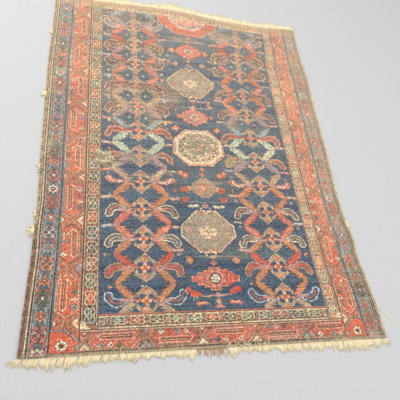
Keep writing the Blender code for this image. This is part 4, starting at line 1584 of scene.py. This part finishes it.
def overlay_strands(dice):
    """Ends that were swept back over the near border."""
    strands = []
    low, _ = plan_of("end_stripe_near")
    for k in range(SWEPT_ENDS):
        across = dice.uniform(0.40, 0.56) if k % 3 else dice.uniform(-0.15, 0.95)
        root = on_rug(across + ORIGIN_X, low[1] + ORIGIN_Y + 0.001, PILE_TOP - 0.0008)
        reach = dice.uniform(0.008, 0.020)
        path, radii = strand(root, dice.gauss(0.0, 0.7), reach, 0.0008, dice, 0.0010, root[2] + 0.0012)
        strands.append((path, radii, dice.uniform(0.0, 0.35)))
    return strands


# Where tufts of bare warps stand in the torn place.
TORN_TUFTS = [(-0.010, 0.632), (0.008, 0.636), (0.026, 0.624), (0.004, 0.596), (0.024, 0.588),
              (0.046, 0.572), (0.034, 0.604), (-0.022, 0.598)]


def tear_strands(dice):
    """Bare cream warps and loose ends in the torn place."""
    strands = []
    for k in range(TORN_ENDS):
        across, along = TORN_TUFTS[k % len(TORN_TUFTS)]
        across += dice.gauss(0.0, 0.006)
        along += dice.gauss(0.0, 0.004)
        root = on_rug(across + ORIGIN_X, along + ORIGIN_Y, PILE_BOTTOM + 0.0022)
        lean = dice.gauss(0.0, 0.9) + (math.pi if k % 2 else 0.4)
        path, radii = strand(root, lean, dice.uniform(0.008, 0.020), 0.0009, dice, 0.0016, root[2] + 0.0010)
        strands.append((path, radii, dice.uniform(-0.3, 0.15)))
    return strands


def edge_x(side):
    """Where the middle of one overcast edge stands."""
    low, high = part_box(f"selvedge_overcast_{side}")
    return (low.x + high.x) / 2


def overcast_piece(side, material):
    """Yarn wound round and round the edge cord, as one long coil."""
    low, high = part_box(f"selvedge_overcast_{side}")
    middle_z = (low.z + high.z) / 2 + 0.0002
    reach = (high.z - low.z) / 2 - OVERCAST_YARN * 0.75
    count = int((high.y - low.y) / OVERCAST_PITCH) * OVERCAST_SIDES + 1
    angle = 2 * np.pi * np.arange(count) / OVERCAST_SIDES
    y = np.linspace(low.y + OVERCAST_YARN, high.y - OVERCAST_YARN, count)
    along = y - ORIGIN_Y
    if side == "left":
        outward_share = -0.8
        flat = np.interp(along, [0.24, 0.32], [1.45, 1.1])
        stations, tones = [-0.13, 0.24, 0.30, 0.56, 0.60, 1.50], [0.95, 0.90, 0.50, 0.60, 0.45, 0.50]
    else:
        outward_share = 0.8
        flat = np.full(count, 1.05)
        stations, tones = [-0.13, 0.20, 0.35, 0.70, 1.50], [0.40, 0.25, 0.12, 0.20, 0.15]
    spread = flat * reach
    middle = lie(edge_x(side) + (spread - reach) * outward_share, y, np.full(count, middle_z))
    slack = 1.0 + 0.06 * np.sin(y * 61.0) + 0.05 * np.sin(y * 143.0 + 1.0)
    path = middle + np.stack([spread * slack * np.cos(angle), 0 * angle, reach * np.sin(angle)], axis=-1)
    outward = path - middle
    outward[:, 1] = 0
    radii = np.full(count, OVERCAST_YARN) * (1 + 0.10 * np.sin(y * 97.0))
    corners = 5
    points = tube_rings(path, radii, corners, unit(outward)).reshape(-1, 3)
    brown = np.interp(along, stations, tones) + 0.16 * np.sin(420 * along)
    brown = brown + 0.30 * np.sin(170 * along) * np.sin(61 * along + 1.3)
    return yarn_object(f"selvedge_overcast_{side}_yarn", points, tube_faces(count, corners),
                       np.repeat(brown, corners), material)


def edge_cord_piece(side, material):
    """The bundle of warps inside the overcasting."""
    low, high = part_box(f"selvedge_cord_{side}")
    count = int((high.y - low.y) / 0.008) + 1
    path = lie(np.full(count, edge_x(side)), np.linspace(low.y, high.y, count), (low.z + high.z) / 2)
    radii = np.full(count, (high.z - low.z) / 2)
    return strands_object(f"selvedge_cord_{side}_warps", [(path, radii, 0.4)], 8, material)


# Tufts on the long edges: place along, how many ends and how far they reach.
LEFT_TUFTS = [(0.294, 34, 0.024), (0.356, 18, 0.014), (0.554, 18, 0.016), (0.915, 30, 0.024),
              (1.275, 16, 0.015), (1.05, 5, 0.007), (0.76, 5, 0.006), (0.44, 5, 0.006), (0.66, 6, 0.008)]
RIGHT_TUFTS = [(0.335, 26, 0.016), (0.505, 14, 0.014), (0.690, 10, 0.010), (0.87, 10, 0.010),
               (1.020, 18, 0.015), (1.06, 7, 0.010), (0.08, 8, 0.010), (1.18, 5, 0.007), (1.36, 5, 0.006),
               (0.60, 5, 0.006)]


def tuft_strands(side, tufts, dice):
    """Frayed ends that stick out of one long edge."""
    outward = -1.0 if side == "left" else 1.0
    edge = edge_x(side)
    strands = []
    for along, count, reach in tufts:
        for _ in range(count):
            y = along + ORIGIN_Y + dice.gauss(0.0, 0.006)
            root = on_rug(edge + outward * 0.001, y, dice.uniform(0.0030, 0.0060))
            lean = outward * (math.pi / 2 + dice.gauss(0.0, 0.6))
            path, radii = strand(root, lean, reach * dice.uniform(0.6, 1.2), 0.00120, dice, 0.0030)
            strands.append((path, radii, dice.uniform(-0.3, 0.1)))
    for _ in range(EDGE_HAIRS):
        y = ORIGIN_Y + dice.uniform(-0.12, 1.5)
        root = on_rug(edge + outward * 0.002, y, dice.uniform(0.002, 0.006))
        lean = outward * (math.pi / 2 + dice.gauss(0.0, 0.9))
        path, radii = strand(root, lean, dice.uniform(0.002, 0.007), 0.00045, dice)
        strands.append((path, radii, dice.uniform(-0.1, 0.6)))
    return strands


# ---------------------------------------------------------------- the loose thread


def smooth_route(points, steps):
    """Points read from a smooth curve that passes through each point of the route."""
    points = np.asarray(points, float)
    padded = np.concatenate([points[:1], points, points[-1:]])
    route = []
    for i in range(1, len(padded) - 2):
        a, b, c, d = padded[i - 1:i + 3]
        for t in np.arange(steps) / steps:
            route.append(0.5 * (2 * b + (c - a) * t + (2 * a - 5 * b + 4 * c - d) * t ** 2
                                + (3 * b - a - 3 * c + d) * t ** 3))
    route.append(points[-1])
    return np.array(route)


def thread_piece(material):
    """Two plies of cream yarn twisted together, lying loose on the floor."""
    low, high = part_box("loose_thread")
    start = Vector((low.x, high.y - THREAD_RADIUS, THREAD_RADIUS))
    path = smooth_route(THREAD_ROUTE, 8)
    path[:, 2] = np.maximum(path[:, 2], 0.0)
    path = path + np.array(start)
    travelled = np.concatenate([[0], np.cumsum(np.linalg.norm(np.diff(path, axis=0), axis=1))])
    fine = np.linspace(0, travelled[-1], 150)
    path = np.stack([np.interp(fine, travelled, path[:, k]) for k in range(3)], axis=-1)
    sides = 12
    turn = 2 * np.pi * np.arange(sides) / sides
    twist = fine * 2 * np.pi / THREAD_TWIST
    plies = 1 - 0.22 * np.abs(np.sin(turn[None, :] - twist[:, None])) ** 3
    taper = np.interp(fine, [0, fine[-1] - 0.006, fine[-1]], [1.0, 1.0, 0.35])
    points = tube_rings(path, THREAD_RADIUS * plies * taper[:, None], sides).reshape(-1, 3)
    thing = yarn_object("loose_thread_yarn", points, tube_faces(len(path), sides),
                        np.full(len(points), 0.15), material)
    return thing, path, float(travelled[-1])


# ---------------------------------------------------------------- camera and light


def make_camera():
    """A hand-held camera above the near left part of the rug."""
    data = bpy.data.cameras.new("camera")
    data.sensor_width = 36.0
    data.lens = CAMERA_LENS
    camera = bpy.data.objects.new("camera", data)
    camera.location = (CAMERA_ACROSS + ORIGIN_X, CAMERA_ALONG + ORIGIN_Y, CAMERA_HEIGHT)
    camera.rotation_euler = [math.radians(a) for a in CAMERA_TURN]
    bpy.context.scene.collection.objects.link(camera)
    bpy.context.scene.camera = camera


def area_light(name, place, size, power):
    data = bpy.data.lights.new(name, "AREA")
    data.shape = "DISK"
    data.size = size
    data.energy = power
    lamp = bpy.data.objects.new(name, data)
    lamp.location = place
    lamp.rotation_euler = (-Vector(place)).to_track_quat("-Z", "Y").to_euler()
    bpy.context.scene.collection.objects.link(lamp)


def make_stage():
    """A plain pale floor and soft light from all round."""
    bpy.ops.mesh.primitive_plane_add(size=30.0, location=(0.0, 0.0, 0.0))
    floor = bpy.context.object
    floor.name = "floor"
    material = bpy.data.materials.new("floor")
    material.use_nodes = True
    shader = material.node_tree.nodes["Principled BSDF"]
    shader.inputs["Base Color"].default_value = FLOOR_COLOUR
    shader.inputs["Roughness"].default_value = 0.9
    floor.data.materials.append(material)
    world = bpy.data.worlds.new("soft_room")
    world.use_nodes = True
    background = world.node_tree.nodes["Background"]
    background.inputs["Color"].default_value = ROOM_COLOUR
    background.inputs["Strength"].default_value = ROOM_STRENGTH
    bpy.context.scene.world = world
    area_light("key", (-1.8, 1.6, 3.4), 2.2, 95.0)
    area_light("fill", (2.2, -1.6, 2.8), 2.6, 35.0)
    bpy.context.scene.view_settings.view_transform = "Standard"


# ---------------------------------------------------------------- putting it together


def field_pieces(wool):
    """The field's pile in a near and a far half, with every motif knotted in."""
    low, high = plan_of("field_pile")
    middle = (low[1] + high[1]) / 2
    near = pile_piece("field_pile_near_half", (low, (high[0], middle)), field_cartoon, wool, 1, 0.9)
    far = pile_piece("field_pile_far_half", ((low[0], middle), high), field_cartoon, wool, 2, 0.9)
    ride(near, ["field_pile", "palmette_near", "medallion_near", "palmette_middle", "medallion_middle"])
    ride(far, ["rosette_middle", "medallion_far", "rosette_far", "half_medallion_far"])
    return [near, far]


def band_pieces(wool):
    """The guards, borders, selvedge bands and end stripes."""
    side_bands = [
        ("inner_guard", inner_guard_cartoon, "guard_wool"),
        ("main_border", main_border_cartoon, "border_wool"),
        ("outer_guard", outer_guard_cartoon, "outer_guard_wool"),
        ("selvedge_band", selvedge_cartoon, "cream_wool"),
    ]
    plans = [(f"{node}_{side}", partial(cartoon, side=sign), slot)
             for side, sign in (("left", 1.0), ("right", -1.0)) for node, cartoon, slot in side_bands]
    plans += [
        ("inner_guard_near", near_guard_cartoon, "guard_wool"),
        ("main_border_near", near_border_cartoon, "border_wool"),
        ("end_stripe_near", end_stripe_cartoon, "faded_wool"),
        ("far_guard", far_guard_cartoon, "faded_wool"),
        ("far_border", far_border_cartoon, "faded_border_wool"),
    ]
    pieces = []
    for number, (node, cartoon, slot) in enumerate(plans):
        piece = pile_piece(f"{node}_pile", plan_of(node), cartoon, wool, 10 + number, 0.22)
        pieces.append(ride(piece, [node]))
    return pieces


def edge_pieces(overcast, cotton):
    """The cords, overcasting and frayed tufts of both long edges."""
    pieces = []
    for side, tufts in (("left", LEFT_TUFTS), ("right", RIGHT_TUFTS)):
        cord = edge_cord_piece(side, cotton)
        pieces.append(ride(cord, [f"selvedge_cord_{side}"]))
        wrap = overcast_piece(side, overcast)
        pieces.append(ride(wrap, [f"selvedge_overcast_{side}"]))
        dice = random.Random(f"tufts {side}")
        fray = strands_object(f"selvedge_fray_{side}", tuft_strands(side, tufts, dice), 4, cotton)
        pieces.append(ride(fray, []))
    return pieces


def fringe_pieces(cotton):
    """Both fringes, the ends swept over the border, and the torn place's threads."""
    low, high = plan_of("ground_weave")
    near = fringe_strands(low[1], -1, random.Random("near"), near_reach, near_kind)
    far = fringe_strands(high[1], 1, random.Random("far"), far_reach, far_kind)
    plans = [
        ("fringe_near_ends", near, [f"fringe_near_{k:02d}" for k in range(1, 13)]),
        ("fringe_far_ends", far, [f"fringe_far_{k:02d}" for k in range(1, 13)]),
        ("fringe_near_swept_ends", overlay_strands(random.Random("swept")), []),
        ("torn_warps", tear_strands(random.Random("torn")), []),
    ]
    return [ride(strands_object(name, strands, 4, cotton), nodes)
            for name, strands, nodes in plans]


def build():
    make_camera()
    make_stage()
    wool = pile_material("knotted_wool")
    weave = weave_material("woven_ground")
    cotton = yarn_material("cotton_warp", (255, 242, 202), (214, 166, 120), 900.0, 0.15)
    overcast = yarn_material("overcast_yarn", (230, 208, 168), (138, 102, 82), 700.0, 0.20)
    thread, path, length = thread_piece(cotton)
    ride(thread, ["loose_thread"])
    sheet = ride(weave_piece(weave), ["ground_weave"])
    pieces = field_pieces(wool) + band_pieces(wool) + edge_pieces(overcast, cotton) + fringe_pieces(cotton)


build()

bpy.context.view_layer.update()
